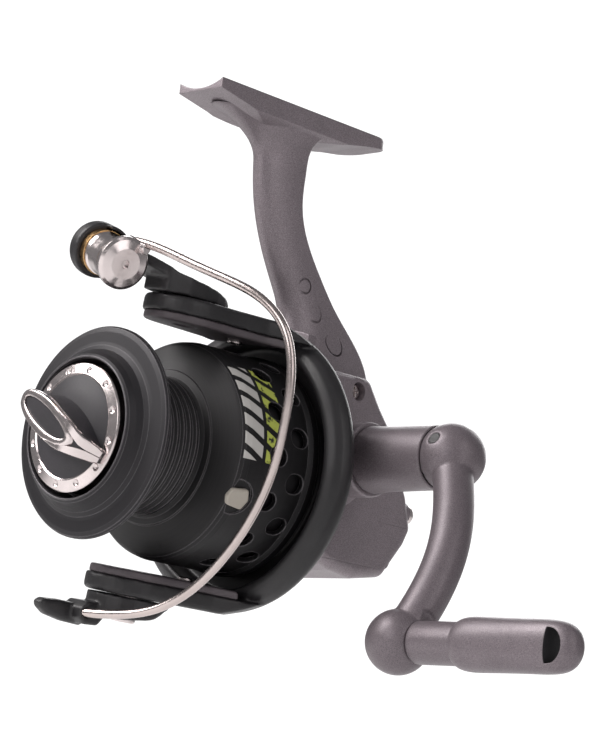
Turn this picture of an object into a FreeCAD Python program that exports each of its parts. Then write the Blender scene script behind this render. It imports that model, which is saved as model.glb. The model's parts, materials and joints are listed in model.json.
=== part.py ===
import FreeCAD, Part
import math
import os

# Open-face spinning reel, size 4000 class.
# Frame: millimetres.  The main shaft lies on the Y axis, -Y is the line side, +Z points at the rod foot, and the
# handle is on the +X side.  The origin is the point of the main shaft's axis that the drive gear's axis crosses over.

V = FreeCAD.Vector
AXES = {"x": V(1, 0, 0), "y": V(0, 1, 0), "z": V(0, 0, 1)}

# ---------------------------------------------------------------- driving dimensions
FIT = 0.05                    # radial clearance of every running fit
GAP = 0.3                     # clearance between pieces that pass each other

# spool
FLANGE_R = 25.0               # front flange, which sets the size class
FLANGE_Y = -66.0              # front flange, rear face
COLLAR_Y = -72.6              # front lip of the drag recess
RECESS_R = 16.3               # recess round the drag knob
DRAG_CUP_R = 12.1             # smaller recess behind it for the washers
ARBOR_R = 16.7
ARBOR_REAR_Y = -47.4
LIP_R = 18.85
SHOULDER_R = 25.7
SKIRT_R = 26.5
SKIRT_REAR_R = 27.0
SKIRT_REAR_Y = -19.4
SKIRT_IN_R = 25.1
ARBOR_GROOVES = 8
SKIRT_HOLES = 15              # in each of two staggered rows
SHAFT_R = 1.75                # main shaft

# rotor
ROTOR_TURN = 8.0              # degrees the rotor stands away from upright at rest
RING_R = 35.5
RING_IN_R = 30.3
RING_FRONT_Y = -21.8
RING_REAR_Y = -12.2
CUP_R = 24.0
CUP_IN_R = 21.4
CUP_FRONT_Y = -39.0
ARM_IN = 29.5                 # inner and outer faces of the two rotor arms
ARM_OUT = 35.6
ARM_HALF = 10.3
BAIL_Y = -46.0                # bail hinge axis, across the rotor

# drive
DRIVE_Z = 4.6                 # drive gear axis above the main shaft
PINION_TEETH = 8
DRIVE_TEETH = 40
PINION_PITCH_R = 3.0
OSC_MODULE = 0.7
OSC_DRIVE_TEETH = 14
OSC_TEETH = 28
STROKE = 12.0                 # spool stroke
FORWARD_TRAVEL = 9.0         # the part of the stroke ahead of rest

# body, stem and foot
BODY_RIGHT = 14.0
BODY_LEFT = -13.0
COVER_X = 9.5                 # joint between housing and side cover
WALL = 2.0
FOOT_TOP_Z = 90.5
FOOT_HALF = 7.45
FOOT_FRONT_Y = -45.8
FOOT_REAR_Y = 15.6
FOOT_SAG = 1.9

# handle
BALL_X = 51.5
BALL_R = 8.1
END_BALL_X = 60.5
END_BALL_R = 7.5
HANDLE_REACH = 51.5           # from the drive axis to the end ball
HANDLE_TURN = 26.02           # degrees the arm hangs forward of straight down


# ---------------------------------------------------------------- shape helpers
def at(axis, along, a=0.0, b=0.0):
    """A point at a distance along an axis, offset along the two other axes in X, Y, Z order."""
    spot = {"x": (along, a, b), "y": (a, along, b), "z": (a, b, along)}
    return V(*spot[axis])


def rod(axis, radius, low, high, a=0.0, b=0.0):
    return Part.makeCylinder(radius, high - low, at(axis, low, a, b), AXES[axis])


def tube(axis, outer, inner, low, high, a=0.0, b=0.0):
    return rod(axis, outer, low, high, a, b).cut(rod(axis, inner, low - 1, high + 1, a, b))


def cone(axis, r_low, r_high, low, high, a=0.0, b=0.0):
    return Part.makeCone(r_low, r_high, high - low, at(axis, low, a, b), AXES[axis])


def box(x0, x1, y0, y1, z0, z1):
    return Part.makeBox(x1 - x0, y1 - y0, z1 - z0, V(x0, y0, z0))


def prism(axis, outline, low, high):
    """A straight prism along an axis; the outline lists the two other coordinates in X, Y, Z order."""
    points = [at(axis, low, a, b) for a, b in outline]
    face = Part.Face(Part.makePolygon(points + points[:1]))
    return face.extrude(AXES[axis] * (high - low))


def turned(outline):
    """A solid of revolution about the Y axis from (radius, y) points."""
    points = [V(r, y, 0) for r, y in outline]
    face = Part.Face(Part.makePolygon(points + points[:1]))
    return face.revolve(V(0, 0, 0), AXES["y"], 360)


def fuse(shapes):
    return shapes[0].fuse(shapes[1:]).removeSplitter()


def turn(shape, axis, degrees, centre=V(0, 0, 0)):
    moved = shape.copy()
    moved.rotate(centre, AXES[axis], degrees)
    return moved


def around(shape, axis, count, centre=V(0, 0, 0), first=0.0):
    return [turn(shape, axis, first + 360.0 * i / count, centre) for i in range(count)]


def softened(shape, radius, picked):
    """Rounds the edges that picked(edge) accepts; falls back to a smaller radius where the shape needs it."""
    edges = [e for e in shape.Edges if picked(e)]
    for size in (radius, 0.6 * radius, 0.3 * radius):
        try:
            rounded = shape.makeFillet(size, edges)
            if rounded.isValid() and rounded.Volume > 0:
                return rounded
        except Part.OCCError:
            continue
    return shape


def edges_on(axis, value, tolerance=0.01):
    """Accepts edges that lie wholly in the plane axis = value."""
    index = "xyz".index(axis)

    def picked(edge):
        ends = edge.discretize(5)
        return all(abs(p[index] - value) < tolerance for p in ends)

    return picked


def swept_tube(points, radius):
    """A round wire along a smooth curve through the points."""
    curve = Part.BSplineCurve()
    curve.interpolate([V(*p) for p in points])
    path = Part.Wire([curve.toShape()])
    ring = Part.Wire([Part.makeCircle(radius, V(*points[0]), curve.tangent(0)[0])])
    return path.makePipeShell([ring], True, True)


def screw(axis, head_r, head_h, shank_r, seat, tip, a=0.0, b=0.0):
    """A cross-recess screw whose head stands on the plane at seat; its shank ends at tip."""
    out = 1 if seat > tip else -1
    low, high = sorted((seat, seat + out * head_h))
    head = rod(axis, head_r, low, high, a, b)
    head = softened(head, 0.45 * head_h, edges_on(axis, seat + out * head_h))
    low, high = sorted((tip, seat))
    body = fuse([head, rod(axis, shank_r, low, high, a, b)])
    top = seat + out * head_h
    depth = 0.55 * head_h
    low, high = sorted((top - out * depth, top + out))
    arm, half = 0.62 * head_r, 0.13 * head_r
    for da, db in ((arm, half), (half, arm)):
        corners = [(a - da, b - db), (a + da, b - db), (a + da, b + db), (a - da, b + db)]
        body = body.cut(prism(axis, corners, low, high))
    return body


def compound(shapes):
    return Part.makeCompound(shapes)


def involute(angle):
    return math.tan(angle) - angle


def spur_gear(teeth, module, low, high, centre_y, centre_z, phase, slack, bore):
    """A spur gear about an X axis; phase is the angle of one tooth's middle, measured from +Y towards +Z."""
    pitch_r = teeth * module / 2
    base_r = pitch_r * math.cos(math.radians(20))
    tip_r, root_r = pitch_r + module, pitch_r - 1.2 * module
    half = math.pi / (2 * teeth) - slack / (2 * pitch_r) + involute(math.radians(20))
    flank = []
    for step in range(5):
        r = max(base_r, root_r) + (tip_r - max(base_r, root_r)) * step / 4
        flank.append((r, half - involute(math.acos(min(1.0, base_r / r)))))
    if root_r < base_r:
        flank.insert(0, (root_r, flank[0][1]))
    outline = []
    for tooth in range(teeth):
        middle = math.radians(phase) + 2 * math.pi * tooth / teeth
        sides = [(r, middle - a) for r, a in flank] + [(r, middle + a) for r, a in reversed(flank)]
        outline += [(centre_y + r * math.cos(t), centre_z + r * math.sin(t)) for r, t in sides]
    return prism("x", outline, low, high).cut(rod("x", bore, low - 1, high + 1, centre_y, centre_z))


# ---------------------------------------------------------------- main shaft and its slider
OSC_GEAR_R = OSC_TEETH * OSC_MODULE / 2
OSC_DRIVE_R = OSC_DRIVE_TEETH * OSC_MODULE / 2
OSC_Y = 13.0
OSC_Z = DRIVE_Z - math.sqrt((OSC_GEAR_R + OSC_DRIVE_R) ** 2 - OSC_Y ** 2)
ECCENTRIC_R = STROKE / 2
SLIDER_Y = OSC_Y + FORWARD_TRAVEL - ECCENTRIC_R
PIN_Z = OSC_Z - math.sqrt(ECCENTRIC_R ** 2 - (SLIDER_Y - OSC_Y) ** 2)
SLIDER_HALF = 3.0
SLIDER_LEFT, SLIDER_RIGHT = -4.3, 2.3
GUIDE_X, GUIDE_Z, GUIDE_R = -1.0, -12.6, 1.1
SLIDER_TOP = OSC_Z + ECCENTRIC_R + 2.0
PIN_R = 1.2
SHAFT_TIP_Y = -78.4


def main_shaft():
    shaft = rod("y", SHAFT_R, SHAFT_TIP_Y, SLIDER_Y + SLIDER_HALF)
    shaft = softened(shaft, 0.4, edges_on("y", SHAFT_TIP_Y))
    flat = box(-SHAFT_R, SHAFT_R, -64.0, -61.5, SHAFT_R - 0.45, SHAFT_R + 1)
    cross_hole = rod("x", 0.7, -3, 3, SLIDER_Y + 1.6, 0)
    return shaft.cut(flat).cut(cross_hole)


def slider():
    y0, y1 = SLIDER_Y - SLIDER_HALF, SLIDER_Y + SLIDER_HALF
    outline = [(y0, GUIDE_Z - 2.2), (y1 - 2.4, GUIDE_Z - 2.2), (y1, GUIDE_Z - 1.5), (y1, SLIDER_TOP - 2.4),
               (y1 - 2.0, SLIDER_TOP), (y0, SLIDER_TOP)]
    block = prism("x", outline, SLIDER_LEFT, SLIDER_RIGHT)
    slot_half = PIN_R + FIT
    low, high = OSC_Z - ECCENTRIC_R - PIN_R - 0.1, OSC_Z + ECCENTRIC_R + PIN_R + 0.1
    slot = box(SLIDER_LEFT - 1, -2.2, SLIDER_Y - slot_half, SLIDER_Y + slot_half, low, high)
    block = block.cut(slot).cut(rod("y", SHAFT_R, y0 - 1, y1 + 1))
    block = block.cut(rod("y", GUIDE_R + FIT, y0 - 1, y1 + 1, GUIDE_X, GUIDE_Z))
    return block.cut(rod("x", 0.7, -5, 5, SLIDER_Y + 1.6, 0))


def slider_pin():
    return rod("x", 0.7, -2.1, SLIDER_RIGHT, SLIDER_Y + 1.6, 0)


# ---------------------------------------------------------------- body housing, covers and foot
BODY_OUTLINE = [
    (-10.5, -22.5), (-0.5, -20.4), (4.0, -21.8), (11.6, -22.8), (21.8, -21.0), (28.8, -12.0), (30.8, -7.7),
    (28.2, 0.3), (19.2, 16.8), (15.2, 21.1), (10.5, 27.2), (-10.5, 27.2),
]
NECK_R, NECK_IN_R = 20.3, 18.4
NECK_FRONT_Y = -19.0
FRONT_PLATE_R = 29.0
FRONT_PLATE_Y = (-10.8, -8.4)
BEARING_BOSS_R = 13.5
BEARING_Y = (-22.4, -18.4)
BEARING_R, BEARING_BORE_R = 6.5, 3.5
CLUTCH_Y = (-29.4, -22.4)
BOSS_X = 26.0
BOSS_R = 9.1
COVER_TOP_Z = 26.4
CAP_Y, CAP_Z = 17.6, (-7.6, 20.4)
KEEL_Z = -19.2


def inset(outline, distance):
    """Moves each side of a closed outline inwards by the distance."""
    wire = Part.makePolygon([V(a, b, 0) for a, b in outline + outline[:1]])
    smaller = wire.makeOffset2D(-distance, 2)
    return [(v.Point.x, v.Point.y) for v in smaller.OrderedVertexes]


def stem_section(z, front, rear, half, nose):
    """One level of the stem: an elliptical nose that fills the given part of its depth, then flat sides."""
    corner = 1.1
    deep = nose * (rear - front)
    round_off = 0.5523
    right = [V(0, front, z), V(round_off * half, front, z), V(half, front + (1 - round_off) * deep, z),
             V(half, front + deep, z)]
    middle = (1 - math.sqrt(0.5)) * corner
    rear_corner = [V(half, rear - corner, z), V(half - middle, rear - middle, z), V(half - corner, rear, z)]
    mirrored = FreeCAD.Matrix(-1, 0, 0, 0, 0, 1, 0, 0, 0, 0, 1, 0, 0, 0, 0, 1)
    edges = []
    for flip in (False, True):
        points, turned_corner = right, rear_corner
        if flip:
            points = [mirrored.multVec(v) for v in right]
            turned_corner = [mirrored.multVec(v) for v in rear_corner]
        curve = Part.BezierCurve()
        curve.setPoles(points)
        side = [curve.toShape(), Part.makeLine(points[3], turned_corner[0]), Part.Arc(*turned_corner).toShape()]
        edges += side if not flip else list(reversed(side))
        if not flip:
            edges.append(Part.makeLine(rear_corner[2], mirrored.multVec(rear_corner[2])))
    return Part.Wire(edges)


# height, front, rear, half thickness and the nose's part of the depth, from the body up to the foot
STEM = [
    (20.0, -10.4, 13.0, 12.0, 0.45), (28.0, -10.6, 13.6, 9.4, 0.45), (36.0, -10.0, 11.0, 6.7, 0.5),
    (43.0, -10.9, 4.8, 5.3, 0.55), (50.0, -15.2, -1.2, 4.9, 0.62), (58.0, -19.8, -7.2, 4.8, 0.75),
    (66.0, -22.8, -10.8, 5.0, 0.88), (74.0, -24.4, -11.2, 5.1, 0.9), (79.0, -25.4, -11.0, 5.2, 0.9),
    (82.0, -28.2, -10.4, 5.6, 0.85), (84.8, -34.0, -8.2, 6.3, 0.8), (86.6, -41.0, -5.0, 7.0, 0.7),
]


def foot():
    """The foot plate: thin at both ends, rounded in plan at the rear, hollowed on top to seat on a round rod."""
    side = [(FOOT_FRONT_Y, FOOT_TOP_Z + 1), (FOOT_FRONT_Y, 88.0), (-36.0, 86.2), (-28.0, 84.2), (-10.0, 84.0),
            (-2.0, 85.2), (6.0, 86.8), (FOOT_REAR_Y, 88.2), (FOOT_REAR_Y, FOOT_TOP_Z + 1)]
    plate = prism("x", side, -FOOT_HALF, FOOT_HALF)
    trough_r = (FOOT_HALF ** 2 + FOOT_SAG ** 2) / (2 * FOOT_SAG)
    trough_z = FOOT_TOP_Z - FOOT_SAG + trough_r
    under_r = 13.5
    keel = rod("y", under_r, FOOT_FRONT_Y - 5, FOOT_REAR_Y + 5, 0, 83.4 + under_r)
    plan = box(-FOOT_HALF, FOOT_HALF, FOOT_FRONT_Y - 5, FOOT_REAR_Y, 80, 95)
    plan = softened(plan, 5.0, lambda e: e.Length > 14.9 and e.CenterOfMass.y > 0 and abs(e.CenterOfMass.x) > 1)
    plate = plate.common(keel).common(plan)
    return plate.cut(rod("y", trough_r, FOOT_FRONT_Y - 5, FOOT_REAR_Y + 5, 0, trough_z))


def body_block():
    """The closed outer form of the gear case."""
    block = prism("x", BODY_OUTLINE, BODY_LEFT, BODY_RIGHT)
    block = softened(block, 3.0, lambda e: e.Length > BODY_RIGHT - BODY_LEFT - 0.1 and e.CenterOfMass.y > 0)
    return softened(block, 2.6, lambda e: edges_on("x", BODY_LEFT)(e) or edges_on("x", BODY_RIGHT)(e))


def body_cavity():
    hollow = prism("x", inset(BODY_OUTLINE, WALL), BODY_LEFT + WALL, BODY_RIGHT - WALL)
    neck = rod("y", NECK_IN_R, -17.6, -8.0)
    return fuse([hollow, neck])


def handle_boss():
    flare = cone("x", BOSS_R + 3.0, BOSS_R, BODY_RIGHT - 1.5, BODY_RIGHT + 4.5, 0, DRIVE_Z)
    trim = box(0, 30, RING_REAR_Y + 1.4, 40, -40, 40)
    boss = fuse([flare, rod("x", BOSS_R, BODY_RIGHT - 1.5, BOSS_X, 0, DRIVE_Z)]).common(trim)
    return softened(boss, 0.5, edges_on("x", BOSS_X))


def case_parts():
    """The housing with its stem and foot, the side cover and the rear cap, cut from one outer form."""
    front_plate = rod("y", FRONT_PLATE_R, *FRONT_PLATE_Y)
    shield = rod("y", 36.0, *FRONT_PLATE_Y).common(box(-11, 11, -12, 0, 20, 40))
    neck = rod("y", NECK_R, NECK_FRONT_Y, -8.0)
    bearing_boss = rod("y", BEARING_BOSS_R, BEARING_Y[0], -17.0)
    shell = body_block().cut(body_cavity())
    cap_zone = box(-30, 30, CAP_Y, 50, *CAP_Z)
    rear_cap = shell.common(cap_zone)
    shell = shell.cut(cap_zone)
    cover_zone = box(COVER_X, 30, RING_REAR_Y + 1.9, 50, KEEL_Z, COVER_TOP_Z)
    cover = shell.common(cover_zone)
    shell = shell.cut(cover_zone)
    head = fuse([front_plate, neck, bearing_boss, shield]).cut(rod("y", NECK_IN_R, -17.6, -5.0))
    stem = Part.makeLoft([stem_section(*row) for row in STEM], True, False)
    stem = stem.cut(box(-40, 40, -12, 12.2, 10, 25.0))
    left_boss = rod("x", 7.6, BODY_LEFT - 2.4, BODY_LEFT + WALL, 0, DRIVE_Z)
    guide_rib = box(BODY_LEFT + 1, 1.2, -0.5, 1.5, GUIDE_Z - 2.4, GUIDE_Z + 2.4)
    posts = [rod("x", 2.2, BODY_LEFT + 1, COVER_X, y, z) for y, z in [SCREW_RIGHT] + SCREWS_LEFT]
    case = fuse([shell, head, stem, foot(), left_boss, guide_rib] + posts).cut(cover_zone)
    case = case.cut(rod("x", 17.5, 1.8, 7.4, 0, DRIVE_Z).common(box(0, 9, -12.5, 14, -20, 24)))
    case = case.cut(rod("x", 5.0, BODY_LEFT - 1.6, BODY_LEFT + 5, 0, DRIVE_Z))
    case = case.cut(rod("x", 2.7, BODY_LEFT - 5, BODY_LEFT + 5, 0, DRIVE_Z))
    case = case.cut(rod("y", BEARING_R, BEARING_Y[0] - 1, BEARING_Y[1]))
    case = case.cut(rod("y", 4.0, -25, -10))
    case = case.cut(rod("y", GUIDE_R, -3, 28.0, GUIDE_X, GUIDE_Z))
    case = case.cut(rod("y", LEVER_PIN_R + FIT, -12, -5, LEVER_X, LEVER_Z)).cut(LEVER_RECESS)
    for y, z, r in ((-7.6, 47.6, 1.8), (-3.7, 41.3, 2.1), (2.4, 34.7, 2.9)):
        half = 4.75 + 0.19 * max(0.0, 46.0 - z)
        for side in (1, -1):
            low, high = sorted((side * (half - 0.45), side * 12))
            case = case.cut(tube("x", r + 0.22, r - 0.22, low, high, y, z))
    cap_post = fuse([rod("y", 3.3, 22.6, 28.6, CAP_SCREW_X, CAP_SCREW_Z),
                     box(8.8, BODY_RIGHT - 1.0, 22.6, 26.2, -10.6, CAP_SCREW_Z)]).common(body_block())
    sockets = [rod("x", 3.4, COVER_X, BODY_RIGHT - 0.2, *SCREW_RIGHT).common(box(0, 30, -10, 30, 0, COVER_TOP_Z))]
    sockets += [rod("x", 2.2, COVER_X, BODY_RIGHT - 0.5, y, z) for y, z in SCREWS_LEFT]
    cover = fuse([cover, handle_boss()] + sockets)
    cover = cover.cut(rod("x", 6.5, 15.0, 21.0, 0, DRIVE_Z)).cut(rod("x", 4.4, 5, 30, 0, DRIVE_Z))
    cover = cover.cut(rod("x", 7.0, 21.0, 30.0, 0, DRIVE_Z))
    cover = cover.cut(rod("x", 1.35, 5, 30, *SCREW_RIGHT)).cut(rod("x", 2.35, SEAT_RIGHT, 30, *SCREW_RIGHT))
    case = case.cut(rod("x", 1.1, COVER_X - 6, 30, *SCREW_RIGHT))
    for y, z in SCREWS_LEFT:
        case = case.cut(rod("x", 1.35, -30, 30, y, z)).cut(rod("x", 2.35, -30, SEAT_LEFT, y, z))
        cover = cover.cut(rod("x", 1.1, 5, 12.0, y, z))
    cap_boss = rod("y", 2.9, 27.0, CAP_SEAT, CAP_SCREW_X, CAP_SCREW_Z).common(box(0, BODY_RIGHT, 20, 40, -9, 9))
    cap_boss = cap_boss.cut(body_cavity())
    rear_cap = fuse([rear_cap, cap_boss]).cut(rod("y", 1.35, 20, 40, CAP_SCREW_X, CAP_SCREW_Z))
    rear_cap = rear_cap.cut(rod("y", 2.7, CAP_SEAT, 40, CAP_SCREW_X, CAP_SCREW_Z))
    cover = fuse([cover, cap_post.cut(rear_cap)]).cut(rod("y", 1.1, 20, 40, CAP_SCREW_X, CAP_SCREW_Z))
    return case, cover, rear_cap


SEAT_RIGHT, SEAT_LEFT = 11.3, -11.9
CAP_SEAT = 30.0
CAP_SCREW_X, CAP_SCREW_Z = 10.4, -3.8
SCREW_RIGHT = (5.8, 23.1)                     # one cover screw enters from the handle side
SCREWS_LEFT = [(21.4, -16.8), (1.0, -16.4)]   # the others from the far side
LEVER_X, LEVER_Z, LEVER_PIN_R = -8.0, -24.6, 1.4
LEVER_RECESS = rod("y", 5.0, FRONT_PLATE_Y[0] - 1, FRONT_PLATE_Y[0] + 0.9, LEVER_X, LEVER_Z).common(
    rod("y", FRONT_PLATE_R - 0.5, FRONT_PLATE_Y[0] - 1, FRONT_PLATE_Y[0] + 0.9))


def side_cover_screws():
    screws = [screw("x", 2.1, 1.2, 1.1, SEAT_RIGHT, 4.2, *SCREW_RIGHT)]
    screws += [screw("x", 2.1, 1.2, 1.1, SEAT_LEFT, 11.6, y, z) for y, z in SCREWS_LEFT]
    return compound(screws)


def rear_cap_screw():
    return screw("y", 2.6, 2.0, 1.1, CAP_SEAT, 23.4, CAP_SCREW_X, CAP_SCREW_Z)


def anti_reverse_lever():
    y0, y1 = FRONT_PLATE_Y
    pin = rod("y", LEVER_PIN_R, y0 + 0.1, y1 + 2.2, LEVER_X, LEVER_Z)
    cam = prism("y", [(LEVER_X - 1.6, LEVER_Z - 1.6), (LEVER_X + 1.6, LEVER_Z - 1.6), (LEVER_X + 2.6, LEVER_Z + 3.4),
                      (LEVER_X + 0.4, LEVER_Z + 3.4)], y0 + 0.1, y0 + 0.8)
    grip = [(LEVER_X - 2.2, LEVER_Z + 1.6), (LEVER_X + 2.2, LEVER_Z + 1.6), (LEVER_X + 1.7, LEVER_Z - 6.2),
            (LEVER_X - 1.7, LEVER_Z - 6.2)]
    tail = prism("y", grip, y1 + 0.2, y1 + 2.4)
    ribs = [box(LEVER_X - 1.5, LEVER_X + 1.5, y1 + 2.4, y1 + 2.9, z, z + 0.5) for z in
            (LEVER_Z - 5.6, LEVER_Z - 4.6, LEVER_Z - 3.6)]
    return fuse([pin, cam, softened(tail, 0.8, lambda e: e.Length < 2.3)] + ribs)


def guide_rod():
    return rod("y", GUIDE_R, -0.5, 27.4, GUIDE_X, GUIDE_Z)


# ---------------------------------------------------------------- bearing, clutch and pinion
def pinion_bearing():
    y0, y1 = BEARING_Y
    middle, ball_r, track = (y0 + y1) / 2, 1.15, 5.0
    groove = Part.makeTorus(track, ball_r + 0.03, V(0, middle, 0), AXES["y"])
    outer = tube("y", BEARING_R, track + 0.65, y0, y1).cut(groove)
    inner = tube("y", track - 0.65, BEARING_BORE_R, y0, y1).cut(groove)
    ball = Part.makeSphere(ball_r, V(track, middle, 0))
    return outer, compound(around(ball, "y", 8, first=22.5)), inner


SLEEVE_R, CLUTCH_BORE_R, CLUTCH_R = 6.0, 8.6, 12.6


def clutch_parts():
    y0, y1 = CLUTCH_Y
    housing = tube("y", CLUTCH_R, CLUTCH_BORE_R, y0, y1)
    ribs = [box(CLUTCH_BORE_R - 1.5, CLUTCH_BORE_R + 0.4, y0 + 0.6, y1 - 0.6, -1.1, 1.1)]
    housing = fuse([housing] + around(ribs[0], "y", 6, first=30))
    sleeve = tube("y", SLEEVE_R, 3.2, y0, y1 - 0.5)
    roller_r = (CLUTCH_BORE_R - SLEEVE_R) / 2 - FIT
    roller = rod("y", roller_r, y0 + 0.6, y1 - 0.6, (CLUTCH_BORE_R + SLEEVE_R) / 2, 0)
    plate = tube("y", CLUTCH_R, SLEEVE_R + 0.4, y0 - 0.9, y0)
    screws = []
    for angle in (90, 210, 330):
        x, z = 10.8 * math.cos(math.radians(angle)), 10.8 * math.sin(math.radians(angle))
        plate = plate.cut(rod("y", 0.8, y0 - 2, y1, x, z))
        housing = housing.cut(rod("y", 0.8, y0 - 1, y1 + 1, x, z))
        screws.append(screw("y", 1.3, 0.6, 0.8, y0 - 0.9, y1, x, z))
    return housing, sleeve, compound(around(roller, "y", 6)), plate, compound(screws)


HUB_Y = (-34.6, -31.2)
THREAD_Y = -38.4


def pinion():
    """A sleeve round the main shaft: gear teeth behind the bearing, clutch and rotor seats ahead of it."""
    root_r, tip_r = 2.42, PINION_PITCH_R + 0.55
    pitch = 2 * math.pi * PINION_PITCH_R / PINION_TEETH
    half_root, half_tip = 0.30 * pitch, 0.11 * pitch
    tooth = prism("y", [(root_r - 0.4, -half_root), (tip_r, -half_tip), (tip_r, half_tip), (root_r - 0.4, half_root)],
                  -17.6, -13.2)
    teeth = fuse([rod("y", root_r, -18.0, -13.0)] + around(tooth, "y", PINION_TEETH))
    seat = fuse([teeth, rod("y", BEARING_BORE_R, BEARING_Y[0], -17.8), rod("y", 3.2, HUB_Y[1], BEARING_Y[0]),
                 rod("y", 2.9, HUB_Y[0], HUB_Y[1]), rod("y", 2.6, THREAD_Y, HUB_Y[0])])
    return seat.cut(rod("y", SHAFT_R + FIT, -45, -10))


def rotor_nut():
    """A hexagon nut on the pinion's thread, with a locking lug."""
    points = [(5.0 * math.cos(math.radians(60 * i)), 5.0 * math.sin(math.radians(60 * i))) for i in range(6)]
    nut = prism("y", points, HUB_Y[0] - 3.0, HUB_Y[0]).common(rod("y", 4.85, HUB_Y[0] - 3.0, HUB_Y[0]))
    return nut.cut(rod("y", 2.6, -45, -30))


def rotor_nut_lock():
    plate = tube("y", 8.6, 5.3, HUB_Y[0] - 1.0, HUB_Y[0])
    plate = fuse([plate, box(5.0, 11.5, HUB_Y[0] - 1.0, HUB_Y[0], -2.0, 2.0)])
    return plate.cut(rod("y", 0.85, -40, -30, 9.6, 0)).cut(rod("y", 5.3, -40, -30))


def rotor_nut_screw():
    return screw("y", 1.7, 0.9, 0.85, HUB_Y[0] - 1.0, HUB_Y[1], 9.6, 0)


# ---------------------------------------------------------------- rotor and its arms
COVER_T = 2.0


def arm_outline(margin):
    """The plan of a rotor arm seen along Z: round at the bail hinge, widening where it runs into the ring."""
    half = ARM_HALF - margin
    points = [(half * math.cos(math.radians(t)), BAIL_Y + (half + 0.9) * math.sin(math.radians(t)))
              for t in range(180, 361, 12)]
    right = [(half + 0.4, -38.0), (half + 1.6, -30.0), (half + 4.4, -24.0), (half + 9.5, -18.6), (half + 12.0, -14.2)]
    left = [(-x, y) for x, y in reversed(right)]
    return points + right + left


def rotor():
    cup = tube("y", CUP_R, CUP_IN_R, CUP_FRONT_Y, RING_REAR_Y)
    hub = rod("y", CUP_R, *HUB_Y)
    ring = turned([(CUP_IN_R + 0.2, RING_REAR_Y), (CUP_IN_R + 0.2, -15.6), (RING_IN_R, -15.6),
                   (RING_IN_R, RING_FRONT_Y + 0.5), (RING_IN_R + 0.5, RING_FRONT_Y), (31.8, RING_FRONT_Y),
                   (33.6, -20.9), (34.9, -19.4), (RING_R, -17.4), (35.1, -16.2), (33.9, -14.6), (31.0, RING_REAR_Y)])
    arms = []
    envelope = turned([(ARM_IN - 0.6, -60), (38.0, -60), (38.0, -30), (36.6, -22), (RING_R, -17.4), (35.1, -16.2),
                       (33.9, -14.6), (32.4, -13.2), (ARM_IN - 0.6, -13.2)])
    for side in (0, 180):
        arm = prism("z", arm_outline(0.0), ARM_IN + COVER_T, ARM_OUT).common(envelope)
        arm = softened(arm, 1.2, edges_on("z", ARM_OUT))
        pocket = prism("z", arm_outline(2.2), ARM_IN, ARM_OUT - 2.0)
        pocket = pocket.common(box(-30, 30, -60, -25.0, 0, 60))
        arm = arm.cut(pocket.cut(rod("z", 3.6, 20, 40, 0, BAIL_Y)))
        arms.append(turn(arm.cut(rod("z", 1.5, 20, 50, 0, BAIL_Y)), "y", side))
    body = fuse([cup, hub, ring] + arms)
    body = body.cut(rod("y", 2.9, -45, -30)).cut(rod("y", 0.85, -45, -30, 9.6, 0))
    openings = [rod("y", 4.2, -36, -30, 15.5, 0), rod("y", 3.0, -36, -30, 16.5, 0)]
    return body.cut(compound(around(openings[0], "y", 6, first=30)))


def arm_cover():
    """The plate that closes the inside of an arm over the bail spring."""
    plate = prism("z", arm_outline(0.6), ARM_IN, ARM_IN + COVER_T).common(box(-30, 30, -60, -24.0, 0, 60))
    plate = softened(plate, 0.5, edges_on("z", ARM_IN))
    return plate.cut(rod("z", 2.6, 20, 50, 0, BAIL_Y)).cut(rod("z", 0.9, 20, 50, 0, -29.0))


def arm_cover_screw():
    return screw("z", 1.8, 0.8, 0.9, ARM_IN, ARM_IN + COVER_T + 0.4, 0, -29.0)


# ---------------------------------------------------------------- bail
LEVER_Z0 = ARM_OUT + GAP
ROLLER_AT = V(1.2, -70.0, 39.5)     # middle of the end cone's widest face
ROLLER_DIR = V(0.956, -0.195, -0.225)
WIRE_R = 1.05
WIRE = [(1.0, -67.2, 45.3), (4.7, -66.1, 44.9), (16.4, -63.3, 42.1), (27.8, -60.6, 39.3), (37.9, -58.1, 35.7),
        (44.1, -56.2, 30.1), (47.2, -54.7, 21.1), (47.4, -53.7, 10.4), (46.1, -52.9, -0.6), (42.4, -52.7, -11.9),
        (35.7, -53.1, -23.4), (28.8, -53.9, -31.2), (20.4, -55.1, -36.8), (4.1, -58.3, -40.9), (0.5, -58.9, -41.3)]


def aimed(shape, spot, direction):
    """Moves a shape built on +Z at the origin so that it stands at the spot and points along the direction."""
    moved = shape.copy()
    moved.Placement = FreeCAD.Placement(spot, FreeCAD.Rotation(AXES["z"], direction)).multiply(moved.Placement)
    return moved


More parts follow.
